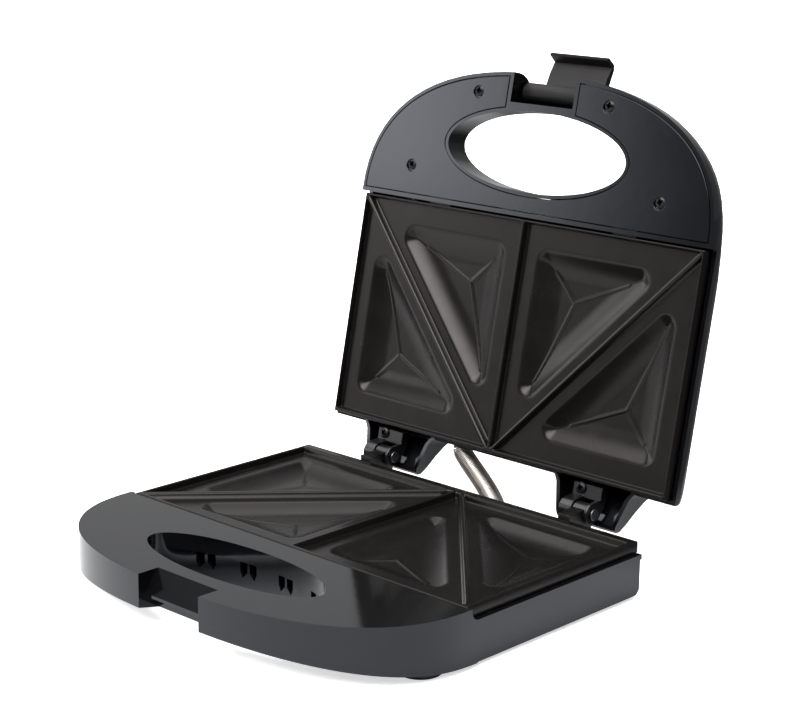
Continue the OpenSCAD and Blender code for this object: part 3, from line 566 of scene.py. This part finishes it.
def plate_mesh(name, sizes, rim, rear_rim):
    """A closed plate, its cooking face up, its rim on Z = 0 and its front middle at the origin."""
    half = PLATE_W / 2
    surface = plate_surface(sizes, rim, rear_rim)
    beside = 2 * CLOSER_STEP  # from a rim's edge to the middle of its sloping side
    shares = rib_shares(
        int(half / sizes.grid),
        [(half, CREST, CREST_STEP), (half - rim - beside, CLOSER, CLOSER_STEP), (0, RIB_REACH, RIB_STEP)],
        [(0, CREST, CREST_STEP), (rim + beside, CLOSER, CLOSER_STEP), (PLATE_D, CREST, CREST_STEP),
         (PLATE_D - rear_rim - beside, CLOSER, CLOSER_STEP)])
    gx, gy = np.meshgrid(np.concatenate([-half * shares[:0:-1], half * shares]), PLATE_D * (1 - shares[::-1]))
    under = -sizes.rim_height - sizes.thickness

    verts = [np.column_stack([gx.ravel(), gy.ravel(), surface(gx, gy).ravel()])]
    count = gx.size
    index = np.arange(count).reshape(gx.shape)
    faces = []
    # the quads are cut along the slanting ribs, which lean the other way on the other half
    for cut, order in ((np.s_[:, : len(shares) - 1], ((0, 1, 2), (0, 2, 3))),
                       (np.s_[:, len(shares) - 1 :], ((0, 1, 3), (1, 2, 3)))):
        round_quad = [index[:-1, :-1][cut], index[:-1, 1:][cut], index[1:, 1:][cut], index[1:, :-1][cut]]
        for three in order:
            faces += np.stack([round_quad[k] for k in three], -1).reshape(-1, 3).tolist()
    border = border_of(index)
    outline = verts[0][border]
    ring = [border]
    touch = 0.01  # points nearer to the outline than this lie on it
    for z, inward in ((under + CHAMFER, 0.0), (under, CHAMFER)):
        loop = outline.copy()
        loop[:, 2] = z
        x, y = outline[:, 0], outline[:, 1]
        loop[:, 0] -= np.sign(x) * np.where(np.abs(x) > half - touch, inward, 0)
        loop[:, 1] += np.where(y < touch, inward, 0) - np.where(y > PLATE_D - touch, inward, 0)
        verts.append(loop)
        ring.append(np.arange(count, count + len(loop)))
        count += len(loop)
    for upper, lower in zip(ring, ring[1:]):
        faces += np.stack([lower, np.roll(lower, -1), np.roll(upper, -1), upper], -1).tolist()
    # the underside is a coarser grid that follows the pockets
    ux, uy = np.meshgrid(np.linspace(-half + UNDER_INSET, half - UNDER_INSET, UNDER_GRID[0]),
                         np.linspace(UNDER_INSET, PLATE_D - UNDER_INSET, UNDER_GRID[1]))
    below = np.minimum(under, surface(ux, uy) - sizes.thickness)
    below[0, :] = below[-1, :] = under
    below[:, 0] = below[:, -1] = under
    verts.append(np.column_stack([ux.ravel(), uy.ravel(), below.ravel()]))
    index = np.arange(ux.size).reshape(ux.shape) + count
    quads = np.stack([index[:-1, :-1], index[1:, :-1], index[1:, 1:], index[:-1, 1:]], -1)
    faces += quads.reshape(-1, 4).tolist()
    mesh = bpy.data.meshes.new(name)
    mesh.from_pydata((np.concatenate(verts) * MM).tolist(), [], faces)
    bm = bmesh.new()
    bm.from_mesh(mesh)
    bm.verts.ensure_lookup_table()
    loops = []
    for chain in (ring[-1], border_of(index)):
        corners = [bm.verts[int(k)] for k in chain]
        loops += [bm.edges.get(pair) for pair in zip(corners, corners[1:] + corners[:1])]
    bmesh.ops.bridge_loops(bm, edges=loops)
    bmesh.ops.recalc_face_normals(bm, faces=bm.faces)
    bm.to_mesh(mesh)
    bm.free()
    mesh.shade_smooth()
    return mesh


def cylinder_into(bm, radius, low, high, at):
    """Adds an upright closed cylinder to a bmesh, in mm."""
    made = bmesh.ops.create_cone(bm, cap_ends=True, segments=24, radius1=radius * MM, radius2=radius * MM,
                                 depth=(high - low) * MM)
    bmesh.ops.translate(bm, verts=made["verts"], vec=Vector((*at, (low + high) / 2)) * MM)


def box_into(bm, low, high):
    """Adds a closed box to a bmesh, in mm."""
    low, high = Vector(low), Vector(high)
    made = bmesh.ops.create_cube(bm, size=1.0)
    bmesh.ops.scale(bm, verts=made["verts"], vec=(high - low) * MM)
    bmesh.ops.translate(bm, verts=made["verts"], vec=(low + high) / 2 * MM)


def add_fittings(mesh, upper):
    """Posts under a plate, and the upper plate's lugs and hooks."""
    bm = bmesh.new()
    bm.from_mesh(mesh)
    half = PLATE_W / 2
    for side in (-1, 1):
        for y in (POST_FRONT, PLATE_D - POST_REAR):
            cylinder_into(bm, POST_RADIUS, POST_LOW, POST_HIGH, (side * (half - POST_SIDE), y))
        if upper:
            x = side * LUG_AT
            box_into(bm, (x - LUG_HALF, *LUG_LOW), (x + LUG_HALF, *LUG_HIGH))
            x = side * (half - HOOK_SIDE)
            for reach, top in ((HOOK_NECK, HOOK_TOP), (HOOK_TIP, HOOK_STEP)):
                box_into(bm, (x - HOOK_HALF, PLATE_D + HOOK_ROOT, HOOK_DROP),
                         (x + HOOK_HALF, PLATE_D + reach, top))
    bm.to_mesh(mesh)
    bm.free()


# ---- screws, in mm ----

HEAD_HEIGHT, HEAD_DOME, HEAD_ROUND = 1.6, 0.8, 2.4  # the dome's height and how late it falls off
HEAD_RINGS = (2.2, 2.5, 2.75)  # rings of the head's mesh between its recess and its edge
CROSS_ARM, CROSS_HALF, CROSS_DEPTH, CROSS_WALL = 1.8, 0.42, 1.2, 0.16  # the recess and its sloping wall
CROSS_END = 1.8  # how steeply the recess ends along its arms
RECESS_SHADE_FROM = 0.35  # the painted shade in the recess is full from this depth
AXIS_RADIUS = 0.01  # the small face that closes a turned mesh on its axis


def start_tree(name, **kinds):
    """A Geometry Nodes tree and its inputs, the geometry first."""
    tree = bpy.data.node_groups.new(name, "GeometryNodeTree")
    for key, kind in {"Geometry": "Geometry", **kinds}.items():
        tree.interface.new_socket(key, in_out="INPUT", socket_type="NodeSocket" + kind)
    tree.interface.new_socket("Geometry", in_out="OUTPUT", socket_type="NodeSocketGeometry")
    return tree, add(tree, "NodeGroupInput").outputs


def finish_tree(tree, made, material):
    """Ends a tree: what it made becomes real geometry in a material."""
    real = add(tree, "GeometryNodeRealizeInstances", links={"Geometry": made})
    finish = add(tree, "GeometryNodeSetMaterial", links={"Geometry": real, "Material": material})
    add(tree, "NodeGroupOutput", links={0: finish})
    return tree


def screw_tree():
    """Cross-recessed screws, one at each point of a mesh, turned to its axis."""
    tree, inputs = start_tree("screws", Screw="Object", Turn="Float", Finish="Material")
    template = add(tree, "GeometryNodeObjectInfo", links={"Object": inputs["Screw"]})
    axis = add(tree, "GeometryNodeInputNamedAttribute", {"Name": "axis"}, data_type="FLOAT_VECTOR")
    upright = add(tree, "FunctionNodeAlignRotationToVector",
                  links={"Vector": axis.outputs["Attribute"]}, axis="Z")
    # input 3 is the upper bound of a float
    twist = add(tree, "FunctionNodeRandomValue", {"Seed": 7}, {3: inputs["Turn"]}, data_type="FLOAT")
    spin = add(tree, "FunctionNodeAxisAngleToRotation", {"Axis": (0, 0, 1)}, {"Angle": twist.outputs[1]})
    leaning = add(tree, "FunctionNodeRotateRotation",
                  links={"Rotation": upright, "Rotate By": spin}, rotation_space="LOCAL")
    placed = add(tree, "GeometryNodeInstanceOnPoints",
                 links={"Points": inputs["Geometry"], "Instance": template.outputs["Geometry"],
                        "Rotation": leaning})
    return finish_tree(tree, placed, inputs["Finish"])


def set_inputs(modifier, tree, **values):
    """Gives a modifier its tree and sets its inputs by their sockets' identifiers."""
    modifier.node_group = tree
    for item in tree.interface.items_tree:
        if item.item_type == "SOCKET" and item.in_out == "INPUT" and item.name in values:
            modifier[item.identifier] = values[item.name]


def screw_template(radius, shank, length):
    """A pan-head screw, point up, its head below Z = 0, with a cross recess pressed into it."""
    count = 64
    turns = np.arange(count) * 2 * math.pi / count
    rings, recess_shade = [], []
    for r in (*np.linspace(AXIS_RADIUS, CROSS_ARM + 0.15, 17), *HEAD_RINGS, radius):
        x, y = r * np.cos(turns), r * np.sin(turns)
        crown = -HEAD_HEIGHT + HEAD_DOME * (r / radius) ** HEAD_ROUND
        recess = np.zeros(count)
        for along, across in ((np.abs(x), np.abs(y)), (np.abs(y), np.abs(x))):
            wall = np.clip(1 - (across - CROSS_HALF) / CROSS_WALL, 0, 1)
            end = np.clip(CROSS_END * (CROSS_ARM - along) / CROSS_ARM, 0, 1)
            recess = np.maximum(recess, CROSS_DEPTH * wall * end)
        rings.append(np.column_stack([x, y, crown + recess]))
        # painted shade: the share of near black that the recess is coloured, by its depth
        recess_shade.append(np.clip(recess / RECESS_SHADE_FROM, 0, 1))
    for r, z in ((radius, -0.15), (radius - 0.1, 0), (shank, 0), (shank, length - 0.6), (shank / 2, length),
                 (AXIS_RADIUS, length)):
        rings.append(np.column_stack([r * np.cos(turns), r * np.sin(turns), np.full(count, z)]))
        recess_shade.append(np.zeros(count))
    body = new_piece("screw_template", loft("screw", [[tuple(p) for p in ring * MM] for ring in rings]))
    # the attribute recess carries the painted shade of the recess
    body.data.attributes.new("recess", "FLOAT", "POINT").data.foreach_set("value", np.concatenate(recess_shade))
    smooth_by_angle(body.data, 35)
    body.hide_render = True
    return body


def islands(node):
    """The separate solids of a CAD node in a fixed order, each as an array of points."""
    bm = welded(node)
    left = dict.fromkeys(bm.verts)
    found = []
    while left:
        stack = [left.popitem()[0]]
        part = []
        while stack:
            v = stack.pop()
            part.append(tuple(v.co))
            for e in v.link_edges:
                other = e.other_vert(v)
                if other in left:
                    del left[other]
                    stack.append(other)
        found.append(np.array(part))
    bm.free()
    return found


def make_screws(name, node, axis, sizes):
    """Detailed screws in the places of a CAD node's own, with their points along axis."""
    axis = np.array(axis, float)
    parts = islands(node)
    length = max(np.ptp(p @ axis) for p in parts) / MM - HEAD_HEIGHT
    seats = []
    for p in parts:
        centre = (p.max(0) + p.min(0)) / 2
        seats.append(tuple(centre + axis * ((p @ axis).min() + HEAD_HEIGHT * MM - centre @ axis)))
    mesh = bpy.data.meshes.new(name)
    mesh.from_pydata(seats, [], [])
    store = mesh.attributes.new("axis", "FLOAT_VECTOR", "POINT")
    store.data.foreach_set("vector", np.tile(axis, len(seats)))
    piece = new_piece(name, mesh)
    template = screw_template(sizes.screw_head, sizes.screw_shank, length)
    set_inputs(piece.modifiers.new("screws", "NODES"), screw_tree(), Screw=template, Turn=math.pi / 2,
               Finish=MATERIALS[slot_of(node)])
    settle(piece)
    bpy.data.objects.remove(template)
    dress(piece, node)


# ---- wound conduit ----

CONDUIT_LOW = (18.6, PLATE_D + 1.4, -13)  # where it leaves the base, in mm
CONDUIT_HIGH = (-25.6, PLATE_D + 3.9, 11.2)  # and where it enters the lid
CONDUIT_PULL_LOW, CONDUIT_PULL_HIGH = 17.4, 4.0  # how far each end's direction holds, in mm
CONDUIT_TAIL = 6  # the straight end inside a wall, in mm
TURN_STEPS = 28  # points of the wire on one turn


def coil_tree():
    """A close-wound spring along a curve, from a helix of wire."""
    tree, inputs = start_tree("coil", Radius="Float", Wire="Float", Pitch="Float", Steps="Int",
                              Finish="Material")
    length = add(tree, "GeometryNodeCurveLength", links={"Curve": inputs["Geometry"]})
    turns = add(tree, "ShaderNodeMath", links={0: length, 1: inputs["Pitch"]}, operation="DIVIDE")
    points = add(tree, "ShaderNodeMath", links={0: turns, 1: inputs["Steps"]}, operation="MULTIPLY")
    fine = add(tree, "GeometryNodeResampleCurve", links={"Curve": inputs["Geometry"], "Count": points})
    index = add(tree, "GeometryNodeInputIndex")
    share = add(tree, "ShaderNodeMath", links={0: index, 1: inputs["Steps"]}, operation="DIVIDE")
    angle = add(tree, "ShaderNodeMath", {1: 2 * math.pi}, {0: share}, operation="MULTIPLY")
    normal = add(tree, "GeometryNodeInputNormal")
    tangent = add(tree, "GeometryNodeInputTangent")
    side = add(tree, "ShaderNodeVectorMath", links={0: tangent, 1: normal}, operation="CROSS_PRODUCT")
    ways = []
    for wave, way in (("COSINE", normal), ("SINE", side)):
        swing = add(tree, "ShaderNodeMath", links={0: angle}, operation=wave)
        ways.append(add(tree, "ShaderNodeVectorMath", links={0: way, "Scale": swing}, operation="SCALE"))
    both = add(tree, "ShaderNodeVectorMath", links={0: ways[0], 1: ways[1]}, operation="ADD")
    offset = add(tree, "ShaderNodeVectorMath", links={0: both, "Scale": inputs["Radius"]}, operation="SCALE")
    wound = add(tree, "GeometryNodeSetPosition", links={"Geometry": fine, "Offset": offset})
    section = add(tree, "GeometryNodeCurvePrimitiveCircle", {"Resolution": 8}, {"Radius": inputs["Wire"]})
    wire = add(tree, "GeometryNodeCurveToMesh", {"Fill Caps": True},
               {"Curve": wound, "Profile Curve": section})
    return finish_tree(tree, wire, inputs["Finish"])


def curve_through(name, points):
    """A curve object through points, whose twist is the least."""
    curve = bpy.data.curves.new(name, "CURVE")
    curve.dimensions = "3D"
    curve.twist_mode = "MINIMUM"
    spline = curve.splines.new("POLY")
    spline.points.add(len(points) - 1)
    for k, p in enumerate(points):
        spline.points[k].co = (*p, 1)
    return new_piece(name, curve)


def bezier(a, b, c, d, t):
    """A point of the cubic curve from a to d, pulled towards b and c."""
    return (1 - t) ** 3 * a + 3 * (1 - t) ** 2 * t * b + 3 * (1 - t) * t * t * c + t ** 3 * d


# ---- what a user may change ----


def colour(name, description, hex_colour):
    """A colour in hex."""
    return StringProperty(name=name, description=description, default=hex_colour)


def number(name, description, default, **kind):
    """A number with its unit or subtype, if it has one."""
    return FloatProperty(name=name, description=description, default=default, **kind)


def length(name, description, mm):
    """A length given in mm."""
    return number(name, description, mm * MM, unit="LENGTH")


class ToasterLooks(bpy.types.PropertyGroup):
    """Colours and gloss of the finishes."""
    housing: colour("Housing", "Colour of the base and lid shells", "#070708")
    cover: colour("Cover", "Colour of the lid's inner cover", "#08080a")
    housing_gloss: number("Housing roughness", "Roughness of the polished shells", 0.08, subtype="FACTOR")
    coating: colour("Coating", "Colour of the plates' coating", "#080707")
    coating_warm: colour("Coating, aged", "Colour of the coating where it is worn", "#0c0a09")
    coating_gloss: number("Coating roughness", "Roughness of the plates' coating", 0.24, subtype="FACTOR")
    hinge: colour("Hinges", "Colour of the hinge brackets", "#0b0b0c")
    latch: colour("Latch", "Colour of the latch", "#0d0a0a")
    screw: colour("Screws", "Colour of the blackened screws", "#2b2b2d")
    conduit: colour("Conduit", "Colour of the wound conduit", "#a59e99")
    table: colour("Table", "Colour of the table", "#fbfbfb")


class ToasterPlates(bpy.types.PropertyGroup):
    """Sizes of the cooking plates."""
    rim_height: length("Rim height", "Height of the rim over the ground", 3.2)
    rim_width: length("Rim width", "Width of the front and side rims", 2.0)
    rear_rim: length("Rear rim", "Width of the rear rim", 5.0)
    upper_rim: length("Upper rim", "Width of the upper plate's front and side rims", 0.9)
    upper_rear_rim: length("Upper rear rim", "Width of the upper plate's rear rim", 1.8)
    rib_width: length("Rib width", "Width of the dividing ribs", 1.3)
    thickness: length("Thickness", "Thickness of the casting", 2.2)
    pocket_depth: length("Pocket depth", "Depth of the pockets", 8.0)
    pocket_side: length("Pocket side", "From the rib to a pocket", 11.0)
    pocket_end: length("Pocket end", "From front or rear to a pocket", 13.7)
    pocket_slant: length("Pocket slant", "From the slanting rib to a pocket", 7.5)
    pocket_corner: length("Pocket corner", "Radius of a pocket's corners", 6.0)
    pocket_run: length("Pocket wall", "Width of a pocket's sloping wall", 7.6)
    pocket_edge: length("Pocket edge", "Softness of a pocket's edges", 0.7)
    pocket_foot: length("Pocket foot", "Softness at the foot of a pocket's wall", 4.4)
    crease_height: length("Crease", "Height of the ridges in a pocket", 0.7)
    edge_radius: length("Edge radius", "Radius of the rim's outer edge", 0.7)
    grid: length("Grid", "Spacing of the cooking face's mesh", 0.72)


class ToasterHardware(bpy.types.PropertyGroup):
    """Sizes of the screws and the wound conduit."""
    screw_head: length("Screw head", "Radius of a screw's head", 2.9)
    screw_shank: length("Screw shank", "Radius of a screw's shank", 1.4)
    conduit_radius: length("Conduit radius", "From the conduit's middle to its wire's", 4.45)
    conduit_wire: length("Conduit wire", "Radius of the conduit's wire", 0.52)
    conduit_pitch: length("Conduit pitch", "From one turn of the wire to the next", 1.08)


class ToasterStudio(bpy.types.PropertyGroup):
    """The camera and the lights."""
    azimuth: number("Azimuth", "Camera's direction round the toaster", math.radians(43.436), subtype="ANGLE")
    elevation: number("Elevation", "Height of the camera's direction", math.radians(14.363), subtype="ANGLE")
    roll: number("Roll", "Tilt of the camera", math.radians(0.55), subtype="ANGLE")
    lens: number("Lens", "Focal length", 91.02, unit="CAMERA")
    place: FloatVectorProperty(
        name="Place", description="Place of the camera from the plate's front middle",
        default=(0.6402, -0.6028, 0.3137), subtype="TRANSLATION", unit="LENGTH")
    ceiling: number("Ceiling", "Strength of the light from above", 3.5)
    room: number("Room", "Brightness of the room behind the toaster", 0.65)
    front: number("Front", "Brightness of the room in front of it", 0.24)
    screen: number("Screen", "Brightness of the screen on the left", 4.4)
    softbox: number("Softbox", "Brightness of the softbox high in front", 10.5)
    window: number("Window", "Brightness of the window on the left", 3.2)
    glow: number("Table glow", "How brightly the table is lit from below", 0.62)


# ---- the stage ----

TABLE_HALF = 9.0  # in metres
SENSOR = 36  # width in mm
VIEW_FROM, VIEW_TO = 0.05, 60  # what the camera sees, in metres
CEILING_ANGLE = math.radians(80)
CEILING_WAY = (0.1, 0.12, -1)
# where each light fades in along X, Y and Z, from dark to bright
SCREEN = (("X", -0.56, -0.7), ("X", -0.94, -0.8), ("Y", -0.2, -0.5), ("Z", 0.02, 0.16), ("Z", 0.46, 0.3))
SOFTBOX = (("X", -0.78, -0.12), ("X", 0.7, 0.3), ("Y", -0.3, -0.5), ("Z", 0.45, 0.62))
WINDOW = (("X", -0.84, -0.93), ("Z", 0.03, 0.15), ("Z", 0.55, 0.4))


def fades(tree, way, *steps, shape="LINEAR"):
    """The product of fades, each along an axis, from a start to an end and between two values."""
    made = None
    for axis, start, end, low, high in steps:
        fade = add(tree, "ShaderNodeMapRange",
                   {"From Min": start, "From Max": end, "To Min": low, "To Max": high}, {"Value": way[axis]},
                   interpolation_type=shape)
        if made:
            fade = add(tree, "ShaderNodeMath", links={0: made, 1: fade}, operation="MULTIPLY")
        made = fade
    return made


# ---- operators ----


class TOASTER_OT_stage(bpy.types.Operator):
    """Builds the camera, table and lights"""
    bl_idname = "toaster.stage"
    bl_label = "Studio"

    def execute(self, context):
        scene = context.scene
        studio = scene.toaster_studio
        data = bpy.data.cameras.new("camera")
        data.lens = studio.lens
        data.sensor_width = SENSOR
        data.clip_start, data.clip_end = VIEW_FROM, VIEW_TO
        camera = new_piece("camera", data)
        turn = Matrix.Rotation(studio.azimuth, 4, "Z")
        turn @= Matrix.Rotation(math.pi / 2 - studio.elevation, 4, "X")
        turn @= Matrix.Rotation(studio.roll, 4, "Z")
        camera.matrix_world = Matrix.Translation(on_base(0, 0) + Vector(studio.place)) @ turn
        scene.camera = camera

        floor = new_piece("floor", bpy.data.meshes.new("floor"))
        corners = [(x * TABLE_HALF, y * TABLE_HALF, 0) for x, y in ((-1, -1), (1, -1), (1, 1), (-1, 1))]
        floor.data.from_pydata(corners, [], [(0, 1, 2, 3)])
        floor.data.materials.append(self.table(scene.toaster_looks.table, studio.glow))

        sun = bpy.data.lights.new("ceiling", "SUN")
        sun.energy = studio.ceiling
        sun.angle = CEILING_ANGLE
        lamp = new_piece("ceiling", sun)
        lamp.matrix_world = Vector(CEILING_WAY).to_track_quat("-Z", "Y").to_matrix().to_4x4()
        scene.world = self.world(studio)
        scene.view_settings.view_transform = "Standard"
        return {"FINISHED"}

    def table(self, colour, strength):
        """Opal acrylic lit from below, so that shadows stay faint. Mirrored, it is darker at the back."""
        surface = start_material("opal_acrylic_table", colour, 0.7)
        tree = surface.tree
        way = add(tree, "ShaderNodeSeparateXYZ", links={0: surface.coords}).outputs
        seen = add(tree, "ShaderNodeLightPath").outputs["Is Camera Ray"]
        reach = add(tree, "ShaderNodeMath", {1: 0.5}, {0: way["X"], 2: way["Y"]}, operation="MULTIPLY_ADD")
        behind = add(tree, "ShaderNodeMapRange", {"From Min": 0.14, "From Max": 0.3, "To Min": 0.36},
                     {"Value": reach})
        beside = fades(tree, way, ("X", 0.32, 0.75, 0, 1))
        dark = add(tree, "ShaderNodeMath", links={0: behind, 1: beside}, operation="MAXIMUM")
        unseen = add(tree, "ShaderNodeMath", {0: 1.0}, {1: seen}, operation="SUBTRACT")
        share = add(tree, "ShaderNodeMath", links={0: dark, 1: unseen}, operation="MULTIPLY")
        colour_between(surface, share, colour, "#3c3c3e")
        glow = add(tree, "ShaderNodeMath", {1: strength}, {0: seen}, operation="MULTIPLY")
        tree.links.new(glow.outputs[0], surface.shader.inputs["Emission Strength"])
        surface.shader.inputs["Emission Color"].default_value = linear("#ffffff")
        return surface.material

    def world(self, studio):
        """A dim room with a screen and a window on the left and a softbox high in front, all soft-edged."""
        world = bpy.data.worlds.new("studio")
        world.use_nodes = True
        tree = world.node_tree
        way = add(tree, "ShaderNodeSeparateXYZ",
                  links={0: add(tree, "ShaderNodeTexCoord").outputs["Generated"]}).outputs
        level = fades(tree, way, ("Y", -0.3, 0.3, studio.front, studio.room), ("X", -0.45, 0.1, 1, 0.45))
        for places, strength in ((SCREEN, studio.screen), (SOFTBOX, studio.softbox), (WINDOW, studio.window)):
            lit = fades(tree, way, *((*place, 0, 1) for place in places), shape="SMOOTHSTEP")
            level = add(tree, "ShaderNodeMath", {1: strength}, {0: lit, 2: level}, operation="MULTIPLY_ADD")
        background = next(n for n in tree.nodes if n.type == "BACKGROUND")
        background.inputs["Color"].default_value = linear("#ffffff")
        tree.links.new(level.outputs[0], background.inputs["Strength"])
        return world


class TOASTER_OT_base(bpy.types.Operator):
    """Builds the base's housing, bottom cover, feet and inlet bush"""
    bl_idname = "toaster.base"
    bl_label = "Base"

    def execute(self, context):
        round_off("base_shell", "base_housing", 0.5)
        round_off("base_underside", "base_bottom_cover", 0.3, 2)
        round_off("foot_pads", "rubber_feet", 0.6)
        round_off("inlet_bush", "cord_inlet_bush", 0.4)
        return {"FINISHED"}


class TOASTER_OT_plates(bpy.types.Operator):
    """Builds the two cooking plates"""
    bl_idname = "toaster.plates"
    bl_label = "Cooking plates"

    def execute(self, context):
        sizes = in_mm(context.scene.toaster_plates)
        lower = plate_mesh("lower_cooking_plate", sizes, sizes.rim_width, sizes.rear_rim)
        add_fittings(lower, False)
        lower.transform(BASE_MATRIX)
        dress(new_piece("lower_cooking_plate", lower), "lower_plate")
        # the upper plate is made face up too and then mirrored onto the lid
        upper = plate_mesh("upper_cooking_plate", sizes, sizes.upper_rim, sizes.upper_rear_rim)
        add_fittings(upper, True)
        upper.transform(LID_MATRIX @ Matrix.Diagonal((1, 1, -1, 1)))
        upper.flip_normals()
        dress(new_piece("upper_cooking_plate", upper), "upper_plate")
        return {"FINISHED"}


class TOASTER_OT_lid(bpy.types.Operator):
    """Builds the lid's shell, inner cover, lenses and latch"""
    bl_idname = "toaster.lid"
    bl_label = "Lid"

    def execute(self, context):
        round_off("lid_outer_shell", "lid_shell", 0.5)
        round_off("handle_cover", "lid_inner_cover", 0.3)
        round_off("power_lens", "power_lamp_lens", 0.3)
        round_off("ready_lens", "ready_lamp_lens", 0.3)
        round_off("latch_clip", "latch", 0.4)
        return {"FINISHED"}


class TOASTER_OT_hinges(bpy.types.Operator):
    """Builds the hinge brackets, their pins and the latch's pin"""
    bl_idname = "toaster.hinges"
    bl_label = "Hinges"

    def execute(self, context):
        for side in ("left", "right"):
            for part in ("base", "lid"):
                round_off(f"{part}_knuckle_{side}", f"{part}_hinge_bracket_{side}", 0.35)
        round_off("hinge_rivets", "hinge_pins", 0.35)
        keep("latch_pin")
        return {"FINISHED"}


class TOASTER_OT_screws(bpy.types.Operator):
    """Builds all screws"""
    bl_idname = "toaster.screws"
    bl_label = "Screws"

    def execute(self, context):
        sizes = in_mm(context.scene.toaster_hardware)
        into_lid = LID_MATRIX.to_3x3() @ Vector((0, 0, 1))
        for name, node, axis in (
            ("cover_fixings", "lid_cover_screws", into_lid),
            ("plate_fixings", "upper_plate_screws", into_lid),
            ("reflector_fixings", "upper_reflector_screws", -into_lid),
            ("lid_bracket_fixings", "lid_hinge_screws", into_lid),
            ("base_bracket_fixings", "base_hinge_screws", Vector((0, -1, 0))),
            ("base_fixings", "base_screws", Vector((0, 0, 1))),
        ):
            make_screws(name, node, axis, sizes)
        return {"FINISHED"}


class TOASTER_OT_conduit(bpy.types.Operator):
    """Builds the wound conduit that bends between the base and the lid"""
    bl_idname = "toaster.conduit"
    bl_label = "Wound conduit"

    def execute(self, context):
        sizes = context.scene.toaster_hardware
        low, high = on_base(*CONDUIT_LOW), on_lid(*CONDUIT_HIGH)
        low_way = Vector((0, CONDUIT_PULL_LOW, 0)) * MM
        x, y, z = CONDUIT_HIGH
        high_from = on_lid(x, y + CONDUIT_PULL_HIGH, z)
        points = [low - low_way.normalized() * CONDUIT_TAIL * MM]
        points += [bezier(low, low + low_way, high_from, high, k / 40) for k in range(41)]
        points += [high + (high - high_from).normalized() * CONDUIT_TAIL * MM]
        path = curve_through("wound_conduit_path", points)
        set_inputs(path.modifiers.new("coil", "NODES"), coil_tree(), Radius=sizes.conduit_radius,
                   Wire=sizes.conduit_wire, Pitch=sizes.conduit_pitch, Steps=TURN_STEPS,
                   Finish=MATERIALS["conduit_steel"])
        graph = context.evaluated_depsgraph_get()
        mesh = bpy.data.meshes.new_from_object(path.evaluated_get(graph))
        bpy.data.objects.remove(path)
        mesh.shade_smooth()
        piece = new_piece("wound_conduit", mesh)
        coat(piece, "conduit_steel")
        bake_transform(piece)
        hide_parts("spring_conduit")
        return {"FINISHED"}


class TOASTER_OT_inside(bpy.types.Operator):
    """Finishes the parts inside the base and the lid"""
    bl_idname = "toaster.inside"
    bl_label = "Inside parts"

    def execute(self, context):
        for node in ("lower_heater", "upper_heater", "lower_reflector", "upper_reflector", "thermostat",
                     "thermal_fuse", "terminal_block", "base_leads", "lid_leads", "neon_lamps",
                     "lamp_holder"):
            keep(node)
        return {"FINISHED"}


class TOASTER_PT_panel(bpy.types.Panel):
    """Lists the toaster's sizes and steps"""
    bl_idname = "TOASTER_PT_panel"
    bl_label = "Sandwich toaster"
    bl_space_type = "VIEW_3D"
    bl_region_type = "UI"
    bl_category = "Toaster"

    def draw(self, context):
        for group in GROUPS:
            box = self.layout.box()
            settings = getattr(context.scene, group)
            for name in settings.__annotations__:
                box.prop(settings, name)
        for step in STEPS:
            self.layout.operator(step.bl_idname)


STEPS = (TOASTER_OT_stage, TOASTER_OT_base, TOASTER_OT_plates, TOASTER_OT_lid, TOASTER_OT_hinges,
         TOASTER_OT_screws, TOASTER_OT_conduit, TOASTER_OT_inside)
GROUPS = {
    "toaster_looks": ToasterLooks,
    "toaster_plates": ToasterPlates,
    "toaster_hardware": ToasterHardware,
    "toaster_studio": ToasterStudio,
}


def register():
    for cls in (*GROUPS.values(), *STEPS, TOASTER_PT_panel):
        bpy.utils.register_class(cls)
    for name, group in GROUPS.items():
        setattr(bpy.types.Scene, name, PointerProperty(type=group))


def unregister():
    for name in GROUPS:
        delattr(bpy.types.Scene, name)
    for cls in (TOASTER_PT_panel, *reversed(STEPS), *reversed(GROUPS.values())):
        bpy.utils.unregister_class(cls)


def main():
    """Builds everything in order."""
    register()
    make_materials(bpy.context.scene.toaster_looks)
    for step in STEPS:
        group, name = step.bl_idname.split(".")
        getattr(getattr(bpy.ops, group), name)()


if __name__ == "__main__":
    main()
